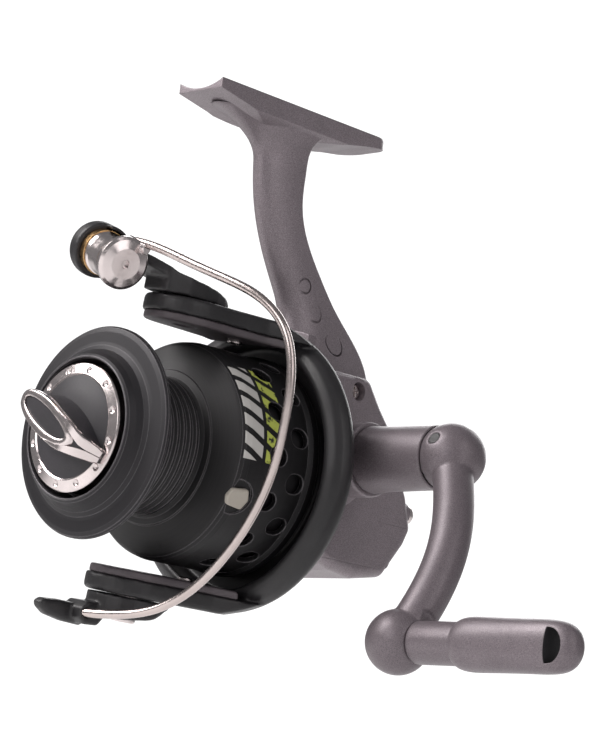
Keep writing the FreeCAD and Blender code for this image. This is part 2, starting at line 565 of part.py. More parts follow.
def bail_arm():
    """The top lever: a plate on the arm's outer face, a beam reaching forward, and a cup at the roller's far end."""
    side = [(-34.4, LEVER_Z0), (-34.4, 37.0), (-36.6, 38.2), (-42.0, 39.1), (-50.0, 40.1), (-55.0, 41.0),
            (-60.0, 43.4), (-64.0, 44.8), (-72.0, 44.8), (-72.0, 30.0), (-34.4, 30.0)]
    base = [(1.6, -34.8), (3.8, -38.4), (5.6, -42.4), (6.4, -47.0), (6.0, -52.0), (3.6, -57.2), (-4.8, -57.2),
            (-6.6, -52.0), (-7.0, -46.0), (-5.4, -39.0), (-1.8, -34.8)]
    beam = [(5.6, -53.0), (3.4, -57.4), (-1.5, -61.8), (-7.4, -66.0), (-9.4, -70.6), (-16.0, -70.6), (-15.0, -64.5),
            (-6.4, -54.0)]
    under = [(-53.0, 38.0), (-57.0, 39.4), (-61.0, 41.2), (-72.0, 41.6), (-72.0, 50.0), (-53.0, 50.0)]
    lever = fuse([prism("z", base, LEVER_Z0, 50), prism("z", beam, 30, 50).common(prism("x", under, -20, 12))])
    lever = lever.common(prism("x", side, -20, 12))
    lever = softened(lever, 0.8, lambda e: e.CenterOfMass.z > 36.5 and e.Length > 2.5)
    lever = lever.cut(aimed(rod("z", 8.0, -11.9, 25), ROLLER_AT, ROLLER_DIR))
    dome = softened(rod("z", 6.7, -17.0, -11.9), 2.6, edges_on("z", -17.0))
    guard = tube("z", 6.7, 5.85, -12.4, -8.9).cut(box(-9, 9, -9, 0.6, -13, -8))
    lever = fuse([lever, aimed(dome, ROLLER_AT, ROLLER_DIR), aimed(guard, ROLLER_AT, ROLLER_DIR)])
    lever = lever.cut(aimed(rod("z", 1.5, -14.0, 4), ROLLER_AT, ROLLER_DIR))
    pivot = rod("z", PIVOT_R + FIT, 30, 50, 0, BAIL_Y)
    return lever.cut(pivot).cut(rod("z", 3.2, PIVOT_TOP, 50, 0, BAIL_Y))


PIVOT_R = 2.4
PIVOT_TOP, PIVOT_BOTTOM = 38.4, 40.6


def bail_pivot_screw(seat):
    """A shoulder screw: its shoulder is the hinge pin of the bail, its thread holds in the arm."""
    head = screw("z", 2.9, 1.3, PIVOT_R, seat, ARM_OUT, 0, BAIL_Y)
    return fuse([head, rod("z", 1.5, ARM_OUT - 2.0, ARM_OUT, 0, BAIL_Y)])


def roller_pin():
    """The screw through the roller; it joins the cone to the lever's end cup."""
    return aimed(rod("z", 1.5, -13.9, -2.5), ROLLER_AT, ROLLER_DIR)


def line_roller():
    """The almost straight roller that the line runs round."""
    outline = [(1.5 + FIT, -9.7), (5.3, -9.7), (5.3, -9.1), (5.1, -8.2), (5.0, -5.2), (5.1, -2.7), (1.5 + FIT, -2.7)]
    spun = turn(turned(outline), "x", 90)
    return aimed(spun, ROLLER_AT, ROLLER_DIR)


def roller_bush():
    return aimed(tube("z", 5.5, 1.5 + FIT, -11.7, -9.8), ROLLER_AT, ROLLER_DIR)


def bail_cone():
    """The polished end cone that leads the line down the wire on to the roller."""
    outline = [(0, -2.4), (4.9, -2.4), (5.9, -1.9), (6.3, -0.8), (6.3, 0.2), (5.6, 0.8), (3.6, 1.5), (1.0, 1.5),
               (1.0, 0.6), (0, 0.6)]
    spun = turn(turned(outline), "x", 90)
    boss = Part.makeCone(1.9, 1.35, 5.2, V(-0.6, -67.6, 44.7), V(11.7, 2.8, -2.0))
    body = fuse([aimed(spun, ROLLER_AT, ROLLER_DIR), boss])
    body = body.cut(aimed(rod("z", 6.0, -14, -2.4), ROLLER_AT, ROLLER_DIR))
    return body.cut(WIRE_SHAPE).cut(roller_pin())


def bail_holder():
    """The lower bail holder: a plate on the arm, a block that takes the wire, and a forward fin."""
    low = -LEVER_Z0
    plan = [(BAIL_PLATE_R * math.sin(math.radians(t)), BAIL_Y - BAIL_PLATE_R * math.cos(math.radians(t)))
            for t in range(-100, 101, 20)]
    plan += [(6.0, -38.0), (2.6, -34.0), (-2.6, -34.0), (-6.0, -38.0)]
    side = [(-35.0, low), (-35.0, -36.7), (-39.4, -37.8), (-41.8, -38.9), (-45.8, -40.2), (-53.5, -41.4),
            (-58.2, -41.9), (-58.2, low)]
    plate = prism("z", plan, -50, low).common(prism("x", side, -12, 12))
    plate = softened(plate, 1.2, lambda e: e.CenterOfMass.z < low - 0.5 and e.Length > 1.5)
    block = prism("x", [(-53.0, -38.4), (-58.4, -38.6), (-60.2, -40.2), (-60.2, -42.6), (-58.4, -44.0),
                        (-54.4, -43.8), (-53.0, -42.0)], -6.4, 1.4)
    block = softened(block, 0.8, lambda e: edges_on("x", 1.4)(e) or edges_on("x", -6.4)(e))
    fin = prism("x", [(-56.0, -39.6), (-64.0, -39.4), (-68.6, -39.7), (-69.8, -40.7), (-69.2, -42.0), (-66.8, -43.4),
                      (-61.6, -44.3), (-56.0, -44.6)], -5.9, -2.3)
    fin = softened(fin, 1.1, lambda e: edges_on("x", -2.3)(e) or edges_on("x", -5.9)(e))
    pivot = rod("z", PIVOT_R + FIT, -60, -30, 0, BAIL_Y)
    holder = fuse([plate, block, fin]).cut(pivot).cut(rod("z", 3.2, -60, -PIVOT_BOTTOM, 0, BAIL_Y))
    return holder.cut(WIRE_SHAPE)


BAIL_PLATE_R = 9.6


def bail_spring():
    """The coil spring that snaps the bail open or shut, in the top arm's pocket."""
    coil = Part.makeHelix(0.9, 9.0, 0.72)
    ring = Part.Wire([Part.makeCircle(0.25, V(0.72, 0, 0), V(0, 1, 0))])
    spring = Part.Wire(coil.Edges).makePipeShell([ring], True, True)
    spring.rotate(V(0, 0, 0), AXES["x"], 90)
    spring.translate(V(6.2, -27.0, ARM_IN + COVER_T + 1.05))
    return spring


WIRE_SHAPE = swept_tube(WIRE, WIRE_R)


# ---------------------------------------------------------------- spool and drag
def spool():
    grooves = []
    front, rear = FLANGE_Y + 1.6, ARBOR_REAR_Y - 0.8
    pitch = (rear - front) / ARBOR_GROOVES
    for i in range(ARBOR_GROOVES):
        y = front + i * pitch
        grooves += [(ARBOR_R, y + 0.15 * pitch), (ARBOR_R, y + 0.5 * pitch), (ARBOR_R - 0.6, y + 0.75 * pitch)]
    outline = [(SHAFT_R + FIT, -61.0), (DRAG_CUP_R, -61.0), (DRAG_CUP_R, -64.35), (DRAG_CUP_R + 0.5, -64.35),
               (DRAG_CUP_R + 0.5, -65.45), (DRAG_CUP_R, -65.45), (DRAG_CUP_R, -65.7), (RECESS_R - 0.3, -65.7),
               (RECESS_R, COLLAR_Y + 0.5), (RECESS_R + 0.3, COLLAR_Y),
               (16.9, COLLAR_Y), (17.5, COLLAR_Y + 0.5), (18.2, -70.6), (19.2, -69.2), (20.2, -68.5), (21.0, -68.3),
               (23.6, -67.9), (24.6, -67.5), (FLANGE_R, -66.9), (FLANGE_R, FLANGE_Y - 0.3), (24.6, FLANGE_Y),
               (ARBOR_R + 1.2, FLANGE_Y + 0.6), (ARBOR_R + 0.3, FLANGE_Y + 1.2)]
    outline += grooves
    outline += [(ARBOR_R + 0.4, ARBOR_REAR_Y - 0.5), (LIP_R - 0.3, ARBOR_REAR_Y), (LIP_R, ARBOR_REAR_Y + 0.3),
                (SHOULDER_R - 0.6, -44.3), (SHOULDER_R, -43.9), (26.2, -43.0), (SKIRT_R, -41.4),
                (SKIRT_R, -22.6), (SKIRT_REAR_R, -21.4), (SKIRT_REAR_R, SKIRT_REAR_Y), (SKIRT_IN_R, SKIRT_REAR_Y),
                (SKIRT_IN_R, -42.0), (23.6, -43.0), (17.0, -45.6), (14.9, -47.6), (14.9, -59.0), (4.6, -59.0),
                (4.6, -46.5), (SHAFT_R + FIT, -46.5)]
    body = turned(outline)
    drill = rod("x", 2.5, 20, 30)
    holes = []
    for y, first in ((-25.6, -11.4), (-32.4, 0.6)):
        oval = fuse([rod("x", 2.35, 20, 30, y - 0.5, 0), rod("x", 2.35, 20, 30, y + 0.5, 0),
                     box(20, 30, y - 0.5, y + 0.5, -2.35, 2.35)])
        holes += around(oval, "y", SKIRT_HOLES, first=first)
    clip_pocket = turn(prism("x", CLIP_POCKET, SKIRT_R - 0.7, 30), "y", CLIP_ANGLE)
    return body.cut(compound(holes)).cut(clip_pocket)


CLIP_ANGLE = 26.0
CLIP_POCKET = [(-42.2 + 5.0 * math.cos(math.radians(t)), 4.4 * math.sin(math.radians(t))) for t in range(0, 360, 20)]


def line_clip():
    """A rounded triangular tab on a post in the skirt."""
    tab = [(-39.6, -2.6), (-38.4, 0.0), (-39.6, 2.6), (-44.4, 2.0), (-45.4, 0.0), (-44.4, -2.0)]
    plate = prism("x", tab, SKIRT_R - 0.7, SKIRT_R + 0.5)
    plate = softened(plate, 0.9, lambda e: 1.15 < e.Length < 1.25)
    return turn(softened(plate, 0.3, edges_on("x", SKIRT_R + 0.5)), "y", CLIP_ANGLE)


def drag_washers():
    """The drag stack in the spool's recess: felt, steel, felt, and the clip ring that keeps them in."""
    felt = compound([tube("y", 11.5, 2.6, -61.9, -61.0), tube("y", 11.5, 2.6, -64.0, -63.1)])
    steel = tube("y", 11.8, SHAFT_R, -63.1, -61.9)
    wire = Part.makeTorus(12.0, 0.5, V(0, -64.9, 0), AXES["y"])
    gap = box(8, 16, -66, -63, -2.0, 2.0)
    return felt, steel, wire.cut(gap)


KNOB_RING_R, KNOB_RING_IN = 15.2, 12.0
KNOB_FRONT_Y = -73.8
FIN_ANGLE = 33.0


def drag_knob_ring():
    """The plated rim of the drag knob, with round dimples, and its skirt inside the recess."""
    ring = turned([(KNOB_RING_IN, -66.0), (KNOB_RING_R - 0.4, -66.0), (KNOB_RING_R - 0.2, -72.4), (KNOB_RING_R, -72.9),
                   (KNOB_RING_R - 0.3, -73.3), (KNOB_RING_IN + 0.5, KNOB_FRONT_Y - 0.1), (KNOB_RING_IN, -73.6)])
    dimple = Part.makeSphere(1.0, V(13.7, -74.1, 0))
    return ring.cut(compound(around(dimple, "y", 12, first=15)))


def ellipse_outline(middle, length, width):
    """Points of an ellipse in the plane of the knob's face, along and across the finger bar."""
    points = []
    for degrees in range(0, 360, 15):
        t = math.radians(degrees)
        points.append((middle + length * math.cos(t), width * math.sin(t)))
    return points


def drag_knob_body():
    """The black moulded knob: a shallow dome, a lens-shaped base and a tall finger bar across it."""
    dome = turned([(0, -75.2), (5.0, -75.0), (9.0, -74.4), (KNOB_RING_IN, -73.5), (KNOB_RING_IN, -66.5), (0, -66.5)])
    arc_r = (12.0 ** 2 + 5.2 ** 2) / (2 * 5.2)
    lens = rod("y", arc_r, -76.0, -73.0, 0, 5.2 - arc_r).common(rod("y", arc_r, -76.0, -73.0, 0, arc_r - 5.2))
    bar = prism("y", ellipse_outline(-1.4, 10.2, 3.3), -80.0, -74.0)
    bar = softened(bar, 0.6, edges_on("y", -80.0))
    knob = fuse([dome, turn(fuse([lens, bar]), "y", FIN_ANGLE)])
    return knob.cut(rod("y", 4.3, -70.5, -60.0)).cut(rod("y", 2.2, -78.8, -60.0))


def drag_knob_loop():
    """The plated bow on the finger bar: an oval eye whose two prongs meet in a tail down to the rim."""
    eye = prism("y", ellipse_outline(-1.6, 10.9, 4.1), -82, -78)
    hole = prism("y", ellipse_outline(-1.8, 8.9, 2.3), -90, -70)
    tail = prism("y", [(-1.0, 4.1), (6.0, 3.7), (10.0, 2.3), (14.2, 2.5), (14.2, -2.5), (10.0, -2.3), (6.0, -3.7),
                       (-1.0, -4.1)], -82, -70)
    notch = prism("y", [(8.2, 2.2), (12.2, 0.0), (8.2, -2.2)], -90, -70)
    near_end = prism("y", ellipse_outline(-1.6, 10.9, 4.1), -90, -70)
    side = [(-13.0, -79.4), (-13.0, -80.8), (-11.0, -81.4), (2.0, -81.6), (8.0, -81.0), (10.6, -79.6), (12.8, -76.8),
            (14.2, -74.6), (14.2, -73.4), (12.3, -73.4), (10.6, -76.0), (8.6, -78.4), (6.0, -79.4)]
    loop = fuse([eye.cut(hole), tail.cut(hole).cut(notch.cut(near_end))]).common(prism("z", side, -6, 6))
    loop = turn(loop, "y", FIN_ANGLE)
    return loop.cut(drag_knob_body()).cut(drag_knob_ring())


def drag_nut():
    """The brass nut that the shaft's thread runs in, with the drag spring under it."""
    points = [(4.2 * math.cos(math.radians(60 * i)), 4.2 * math.sin(math.radians(60 * i))) for i in range(6)]
    nut = prism("y", points, -70.5, -67.5)
    return nut.cut(rod("y", SHAFT_R + FIT, -72, -60))


def drag_spring():
    coil = Part.makeHelix(0.9, 2.4, 3.2)
    ring = Part.Wire([Part.makeCircle(0.32, V(3.2, 0, 0), V(0, 1, 0))])
    spring = Part.Wire(coil.Edges).makePipeShell([ring], True, True)
    spring.rotate(V(0, 0, 0), AXES["x"], 90)
    spring.translate(V(0, -64.6, 0))
    return spring


# ---------------------------------------------------------------- drive train and handle
HUB_R, TUBE_R = 4.0, 2.5
GEAR_FACE_X, GEAR_ROOT_X, GEAR_BACK_X = 2.55, 3.65, 6.6
MESH_Y = PINION_PITCH_R * DRIVE_TEETH / PINION_TEETH
FACE_HALF = 1.2


def drive_gear():
    """The face gear: straight slots along the pinion's axis, each tangent to a circle of the axis offset."""
    centre = V(0, 0, DRIVE_Z)
    inner = math.hypot(MESH_Y - FACE_HALF, DRIVE_Z)
    outer = math.hypot(MESH_Y + FACE_HALF, DRIVE_Z)
    teeth = tube("x", outer, inner, GEAR_FACE_X, GEAR_ROOT_X, 0, DRIVE_Z)
    pitch = 2 * math.pi * PINION_PITCH_R / PINION_TEETH
    half, slope = pitch / 4 + 0.16, 0.42
    wide = half + slope * (PINION_PITCH_R - GEAR_FACE_X)
    narrow = half - slope * (GEAR_ROOT_X + 0.1 - PINION_PITCH_R)
    slot = prism("y", [(GEAR_FACE_X - 0.01, -wide), (GEAR_ROOT_X + 0.1, -narrow), (GEAR_ROOT_X + 0.1, narrow),
                       (GEAR_FACE_X - 0.01, wide)], -MESH_Y - 4.5, -MESH_Y + 4.0)
    teeth = teeth.cut(compound(around(slot, "x", DRIVE_TEETH, centre)))
    disc = rod("x", outer, GEAR_ROOT_X, GEAR_BACK_X, 0, DRIVE_Z)
    windows = rod("x", 3.0, 0, 10, 9.0, DRIVE_Z)
    disc = disc.cut(compound(around(windows, "x", 5, centre, 20)))
    hub = rod("x", HUB_R, GEAR_BACK_X, 24.0, 0, DRIVE_Z)
    shaft = rod("x", TUBE_R, -14.4, GEAR_ROOT_X + 1, 0, DRIVE_Z)
    gear = fuse([teeth, disc, hub, shaft])
    return gear.cut(rod("x", 1.6, -20, 30, 0, DRIVE_Z))


def oscillation_parts():
    """The small pinion on the drive shaft and the gear whose eccentric pin moves the slider."""
    towards = math.degrees(math.atan2(OSC_Z - DRIVE_Z, OSC_Y))
    small = spur_gear(OSC_DRIVE_TEETH, OSC_MODULE, -8.6, -5.6, 0, DRIVE_Z, towards, 0.12, TUBE_R)
    phase = towards + 180 + 180.0 / OSC_TEETH
    large = spur_gear(OSC_TEETH, OSC_MODULE, -8.4, -5.8, OSC_Y, OSC_Z, phase, 0.12, 2.0 + FIT)
    large = fuse([large, rod("x", PIN_R, -6.4, SLIDER_LEFT - 0.3, SLIDER_Y, PIN_Z)])
    post = rod("x", 2.0, BODY_LEFT + WALL, -5.8, OSC_Y, OSC_Z)
    return small, large, post


def handle_rod():
    return rod("x", 1.6, -17.6, 34.0, 0, DRIVE_Z)


def handle_local(shape):
    """Turns a handle piece built with its arm straight down to the rest angle."""
    return turn(shape, "x", -HANDLE_TURN, V(0, 0, DRIVE_Z))


def handle_profile(points):
    """A solid of revolution about the drive axis from (x, radius) points."""
    corners = [V(x, 0, DRIVE_Z + r) for x, r in points]
    face = Part.Face(Part.makePolygon(corners + corners[:1]))
    return face.revolve(V(0, 0, DRIVE_Z), AXES["x"], 360)


TONGUE_HALF, TONGUE_Z, PIN_HOLE_R = 2.5, 3.7, 1.5


def handle_tube():
    """The tube that carries the arm: spigot in the drive gear's hub, and a tongue for the fold pin."""
    body = handle_profile([(24.1, 0), (24.1, 5.6), (26.4, 5.6), (26.4, 8.0), (26.9, 8.2), (32.0, 7.9), (47.3, 7.7),
                           (47.6, 7.4), (47.6, 0)])
    seat = Part.makeSphere(BALL_R + 0.15, V(BALL_X, 0, DRIVE_Z))
    tongue = fuse([box(44.0, BALL_X, -TONGUE_HALF, TONGUE_HALF, DRIVE_Z - TONGUE_Z, DRIVE_Z + TONGUE_Z),
                   rod("y", TONGUE_Z, -TONGUE_HALF, TONGUE_HALF, BALL_X, DRIVE_Z)])
    body = fuse([body.cut(seat), tongue]).cut(rod("y", PIN_HOLE_R + FIT, -9, 9, BALL_X, DRIVE_Z))
    return handle_local(body.cut(rod("x", 1.6, 20, 34.0, 0, DRIVE_Z)))


def fold_pin():
    return handle_local(rod("y", PIN_HOLE_R, -BALL_R + 0.35, BALL_R - 0.35, BALL_X, DRIVE_Z))


ARM_R = 4.8


def handle_arm():
    """The bowed crank arm between its two balls, slotted for the tongue."""
    top = V(BALL_X, 0, DRIVE_Z)
    bottom = V(END_BALL_X, 0, DRIVE_Z - HANDLE_REACH)
    curve = Part.BezierCurve()
    curve.setPoles([top, V(61.6, 0, DRIVE_Z - 18), V(67.8, 0, DRIVE_Z - 30), bottom])
    path = Part.Wire([curve.toShape()])
    sections = [Part.Wire([Part.makeCircle(ARM_R, top, curve.tangent(0)[0])])]
    limb = path.makePipeShell(sections, True, True)
    arm = fuse([Part.makeSphere(BALL_R, top), Part.makeSphere(END_BALL_R, bottom), limb])
    sweep = [rod("y", TONGUE_Z + 0.2, -TONGUE_HALF - 0.1, TONGUE_HALF + 0.1, BALL_X, DRIVE_Z)]
    lane = box(BALL_X - 12, BALL_X, -TONGUE_HALF - 0.1, TONGUE_HALF + 0.1, DRIVE_Z - TONGUE_Z - 0.2,
               DRIVE_Z + TONGUE_Z + 0.2)
    sweep += [turn(lane, "y", degrees, top) for degrees in (0, 18, 36, 54, 72, 90)]
    notch = box(BALL_X - 12, BALL_X, -TONGUE_HALF - 0.1, TONGUE_HALF + 0.1, DRIVE_Z - 5.6, DRIVE_Z)
    arm = arm.cut(fuse(sweep + [turn(notch, "y", -14, top)]))
    arm = arm.cut(rod("y", PIN_HOLE_R, -9, 9, BALL_X, DRIVE_Z))
    arm = arm.cut(rod("x", END_BALL_R, END_BALL_X + KNOB_GAP_X - 0.3, END_BALL_X + 20, 0, DRIVE_Z - HANDLE_REACH))
    return handle_local(arm.cut(rod("x", 2.2, END_BALL_X - 4, END_BALL_X + 12, 0, DRIVE_Z - HANDLE_REACH)))


KNOB_GAP_X = 6.2              # start of the grip, from the middle of the end ball


def on_end_ball(shape):
    """Moves a piece built about the X axis at the origin on to the middle of the end ball."""
    moved = shape.copy()
    hang = math.radians(HANDLE_TURN)
    moved.translate(V(END_BALL_X, -HANDLE_REACH * math.sin(hang), DRIVE_Z - HANDLE_REACH * math.cos(hang)))
    return moved


def knob_spindle():
    """The headed pin riveted in the end ball that the knob turns on."""
    end = KNOB_GAP_X + 28
    return on_end_ball(fuse([rod("x", 2.2, -4, end + 2), rod("x", 3.4, end, end + 2)]))


def rounded_section(x, tall, deep, square):
    """A closed curve across the grip: 2 gives an ellipse, and a larger exponent flattens its sides."""
    points = []
    for degrees in range(0, 360, 15):
        c, n = math.cos(math.radians(degrees)), math.sin(math.radians(degrees))
        points.append(V(x, deep * math.copysign(abs(c) ** (2 / square), c), tall * math.copysign(abs(n) ** (2 / square), n)))
    curve = Part.BSplineCurve()
    curve.interpolate(Points=points, PeriodicFlag=True)
    return Part.Wire([curve.toShape()])


def handle_knob():
    """The flat paddle grip with a round neck and a D-shaped eye near its end."""
    rows = [(KNOB_GAP_X, 4.7, 4.7, 2.0), (15.0, 4.9, 4.9, 2.0), (21.5, 5.9, 5.0, 2.1), (34.0, 5.4, 4.5, 2.3),
            (43.0, 5.8, 4.1, 2.4), (48.6, 5.4, 3.6, 2.4), (51.6, 3.9, 2.4, 2.2)]
    grip = Part.makeLoft([rounded_section(*row) for row in rows], True, False)
    eye = rod("y", 3.8, -10, 10, 44.9, 0).common(box(44.5, 50, -10, 10, -9, 9))
    end = KNOB_GAP_X + 28
    bore = rod("x", 2.2 + FIT, KNOB_GAP_X - 1, end + 0.1)
    knob = grip.cut(eye).cut(bore).cut(rod("x", 3.45, end - 0.1, end + 2.1))
    return on_end_ball(knob)


def bushes():
    left = tube("x", 5.0, TUBE_R + FIT, BODY_LEFT - 1.6, BODY_LEFT + WALL, 0, DRIVE_Z)
    right = tube("x", 6.5, HUB_R + FIT, 15.0, 21.0, 0, DRIVE_Z)
    return left, right


def handle_lock_cap():
    """The knurled cap that clamps the handle rod from the far side."""
    cap = tube("x", 6.6, 1.6, -20.6, -15.6, 0, DRIVE_Z)
    cap = softened(cap, 0.8, edges_on("x", -20.6))
    flute = rod("x", 0.7, -22, -14, 6.9, DRIVE_Z)
    cap = cap.cut(compound(around(flute, "x", 18, V(0, 0, DRIVE_Z))))
    plug = rod("x", 1.6, -20.6, -17.6, 0, DRIVE_Z)
    return fuse([cap, plug])


# ---------------------------------------------------------------- export
def rotor_turned(shape):
    return turn(shape, "y", ROTOR_TURN)


def build():
    nodes = {}
    nodes["body_housing"], nodes["side_cover"], nodes["rear_cap"] = case_parts()
    nodes["side_cover_screws"] = side_cover_screws()
    nodes["rear_cap_screw"] = rear_cap_screw()
    nodes["anti_reverse_lever"] = anti_reverse_lever()
    nodes["slider_guide_rod"] = guide_rod()
    nodes["pinion_bearing_outer_race"], nodes["pinion_bearing_balls"], nodes["pinion_bearing_inner_race"] = \
        pinion_bearing()
    nodes["clutch_housing"], nodes["clutch_sleeve"], nodes["clutch_rollers"], nodes["clutch_retainer"], \
        nodes["clutch_screws"] = clutch_parts()
    nodes["drive_bush_left"], nodes["drive_bush_right"] = bushes()
    nodes["pinion"] = pinion()
    nodes["rotor"] = rotor_turned(rotor())
    nodes["rotor_nut"] = rotor_turned(rotor_nut())
    nodes["rotor_nut_lock"] = rotor_turned(rotor_nut_lock())
    nodes["rotor_nut_lock_screw"] = rotor_turned(rotor_nut_screw())
    nodes["rotor_arm_cover_top"] = rotor_turned(arm_cover())
    nodes["rotor_arm_cover_bottom"] = rotor_turned(turn(arm_cover(), "y", 180))
    nodes["arm_cover_screws"] = rotor_turned(compound([arm_cover_screw(), turn(arm_cover_screw(), "y", 180)]))
    nodes["bail_pivot_screws"] = rotor_turned(compound([bail_pivot_screw(PIVOT_TOP),
                                                        turn(bail_pivot_screw(PIVOT_BOTTOM), "y", 180)]))
    nodes["bail_spring"] = rotor_turned(bail_spring())
    nodes["bail_arm"] = rotor_turned(bail_arm())
    nodes["bail_cone"] = rotor_turned(bail_cone())
    nodes["bail_wire"] = rotor_turned(WIRE_SHAPE)
    nodes["bail_holder"] = rotor_turned(bail_holder())
    nodes["line_roller_pin"] = rotor_turned(roller_pin())
    nodes["line_roller"] = rotor_turned(line_roller())
    nodes["line_roller_bush"] = rotor_turned(roller_bush())
    nodes["main_shaft"] = main_shaft()
    nodes["slider"] = slider()
    nodes["slider_pin"] = slider_pin()
    nodes["spool"] = spool()
    nodes["line_clip"] = line_clip()
    nodes["drag_felt_washers"], nodes["drag_key_washer"], nodes["drag_clip_ring"] = drag_washers()
    nodes["drag_knob_ring"] = drag_knob_ring()
    nodes["drag_knob"] = drag_knob_body()
    nodes["drag_knob_loop"] = drag_knob_loop()
    nodes["drag_nut"] = drag_nut()
    nodes["drag_spring"] = drag_spring()
    nodes["drive_gear"] = drive_gear()
    nodes["oscillation_pinion"], nodes["oscillation_gear"], nodes["oscillation_post"] = oscillation_parts()
    nodes["handle_rod"] = handle_rod()
    nodes["handle_tube"] = handle_tube()
    nodes["handle_lock_cap"] = handle_lock_cap()
    nodes["fold_pin"] = fold_pin()
    nodes["handle_arm"] = handle_arm()
    nodes["knob_spindle"] = knob_spindle()
    nodes["handle_knob"] = handle_knob()
    return nodes


os.makedirs("parts", exist_ok=True)
for name, shape in build().items():
    solids = shape.Solids
    print(name, len(solids), round(shape.Volume, 1), shape.isValid())
    compound(solids).exportStep("parts/" + name + ".step") if len(solids) > 1 else solids[0].exportStep(
        "parts/" + name + ".step")
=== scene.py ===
import json
import math

import bmesh
import bpy
from mathutils import Matrix, Vector


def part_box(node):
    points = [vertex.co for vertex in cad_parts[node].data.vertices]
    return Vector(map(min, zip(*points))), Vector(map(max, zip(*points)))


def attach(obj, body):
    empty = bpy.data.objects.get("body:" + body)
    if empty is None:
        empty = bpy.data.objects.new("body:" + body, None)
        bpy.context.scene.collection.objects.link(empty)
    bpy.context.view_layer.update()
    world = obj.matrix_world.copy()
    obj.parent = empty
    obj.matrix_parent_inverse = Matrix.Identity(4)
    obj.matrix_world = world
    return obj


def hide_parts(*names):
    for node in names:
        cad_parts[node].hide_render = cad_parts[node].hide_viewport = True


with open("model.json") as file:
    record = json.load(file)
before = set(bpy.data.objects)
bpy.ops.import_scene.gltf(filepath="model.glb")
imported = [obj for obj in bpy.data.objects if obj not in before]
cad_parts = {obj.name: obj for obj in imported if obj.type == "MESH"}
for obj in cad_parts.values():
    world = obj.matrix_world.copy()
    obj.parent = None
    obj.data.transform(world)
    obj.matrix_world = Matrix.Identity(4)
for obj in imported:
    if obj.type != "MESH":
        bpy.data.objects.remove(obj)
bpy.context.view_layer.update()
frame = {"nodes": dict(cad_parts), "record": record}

MM = 0.001
FLANGE_REAR = -58.0 * MM            # the spool forward of this is its front flange
TURNING_MARKS = 5200.0              # blotches per metre in the noise that stands for turning marks

# the printed band on the spool's skirt: where it is, and how its slanted blocks repeat
BAND_CENTRE, BAND_HALF = math.radians(68.5), math.radians(27.0)
BAND_MIN_R = 26.0 * MM
BLOCKS_PER_RADIAN, BLOCK_SLANT, BLOCK_FILL = 5.8, -110.0, 0.64
KEEP_POSITIVE = 40.0                # whole blocks added before the fraction is taken
SILVER_Y, SILVER_HALF = -41.0 * MM, 3.3 * MM
LIME_Y, LIME_HALF = -33.9 * MM, 2.7 * MM


# ---------------------------------------------------------------- small helpers for shader nodes
class Shader:
    """A material being wired up: each call adds one node and returns the socket to use next."""

    def __init__(self, name):
        self.material = bpy.data.materials.new(name)
        self.material.use_nodes = True
        self.tree = self.material.node_tree
        self.body = self.tree.nodes["Principled BSDF"]
        self.where = self.node("ShaderNodeTexCoord").outputs["Object"]

    def node(self, kind, **settings):
        made = self.tree.nodes.new(kind)
        for key, value in settings.items():
            setattr(made, key, value)
        return made

    def link(self, value, socket):
        if hasattr(value, "is_output"):
            self.tree.links.new(value, socket)
        else:
            socket.default_value = value

    def math(self, operation, a, b=0.0, clamp=False):
        made = self.node("ShaderNodeMath", operation=operation, use_clamp=clamp)
        self.link(a, made.inputs[0])
        self.link(b, made.inputs[1])
        return made.outputs[0]

    def noise(self, scale, detail=3.0, stretch=(1, 1, 1), vector=None):
        """Cloudy noise; scale counts blotches per metre."""
        mapping = self.node("ShaderNodeMapping")
        self.link(self.where if vector is None else vector, mapping.inputs["Vector"])
        mapping.inputs["Scale"].default_value = [scale * s for s in stretch]
        made = self.node("ShaderNodeTexNoise")
        self.link(mapping.outputs[0], made.inputs["Vector"])
        made.inputs["Scale"].default_value = 1.0
        made.inputs["Detail"].default_value = detail
        return made.outputs["Fac"]

    def remap(self, value, low, high, to_low=0.0, to_high=1.0):
        made = self.node("ShaderNodeMapRange")
        self.link(value, made.inputs["Value"])
        for key, number in (("From Min", low), ("From Max", high), ("To Min", to_low), ("To Max", to_high)):
            self.link(number, made.inputs[key])
        return made.outputs["Result"]

    def mix(self, factor, a, b):
        made = self.node("ShaderNodeMix", data_type="RGBA")
        self.link(factor, made.inputs["Factor"])
        self.link(a, made.inputs["A"])
        self.link(b, made.inputs["B"])
        return made.outputs["Result"]

    def split(self):
        """The object-space x, y and z of the shaded point."""
        made = self.node("ShaderNodeSeparateXYZ")
        self.link(self.where, made.inputs[0])
        return made.outputs

    def bump(self, height, strength, distance, normal=None):
        made = self.node("ShaderNodeBump")
        made.inputs["Strength"].default_value = strength
        made.inputs["Distance"].default_value = distance
        self.link(height, made.inputs["Height"])
        if normal is not None:
            self.link(normal, made.inputs["Normal"])
        return made.outputs["Normal"]

    def rounded(self, radius):
        """A normal that rounds hard edges by the radius, and a mask that is 1 on those edges."""
        bevel = self.node("ShaderNodeBevel", samples=4)
        bevel.inputs["Radius"].default_value = radius
        dot = self.node("ShaderNodeVectorMath", operation="DOT_PRODUCT")
        self.link(bevel.outputs[0], dot.inputs[0])
        self.link(self.node("ShaderNodeNewGeometry").outputs["Normal"], dot.inputs[1])
        return bevel.outputs[0], self.remap(dot.outputs["Value"], 0.995, 0.93)

    def set(self, **values):
        for key, value in values.items():
            self.link(value, self.body.inputs[key.replace("_", " ")])


def rgb(red, green, blue):
    """A colour given as it looks on a screen, 0 to 255, as the linear values that shaders use."""
    out = []
    for c in (red, green, blue):
        c /= 255.0
        out.append(c / 12.92 if c <= 0.04045 else ((c + 0.055) / 1.055) ** 2.4)
    return (*out, 1.0)


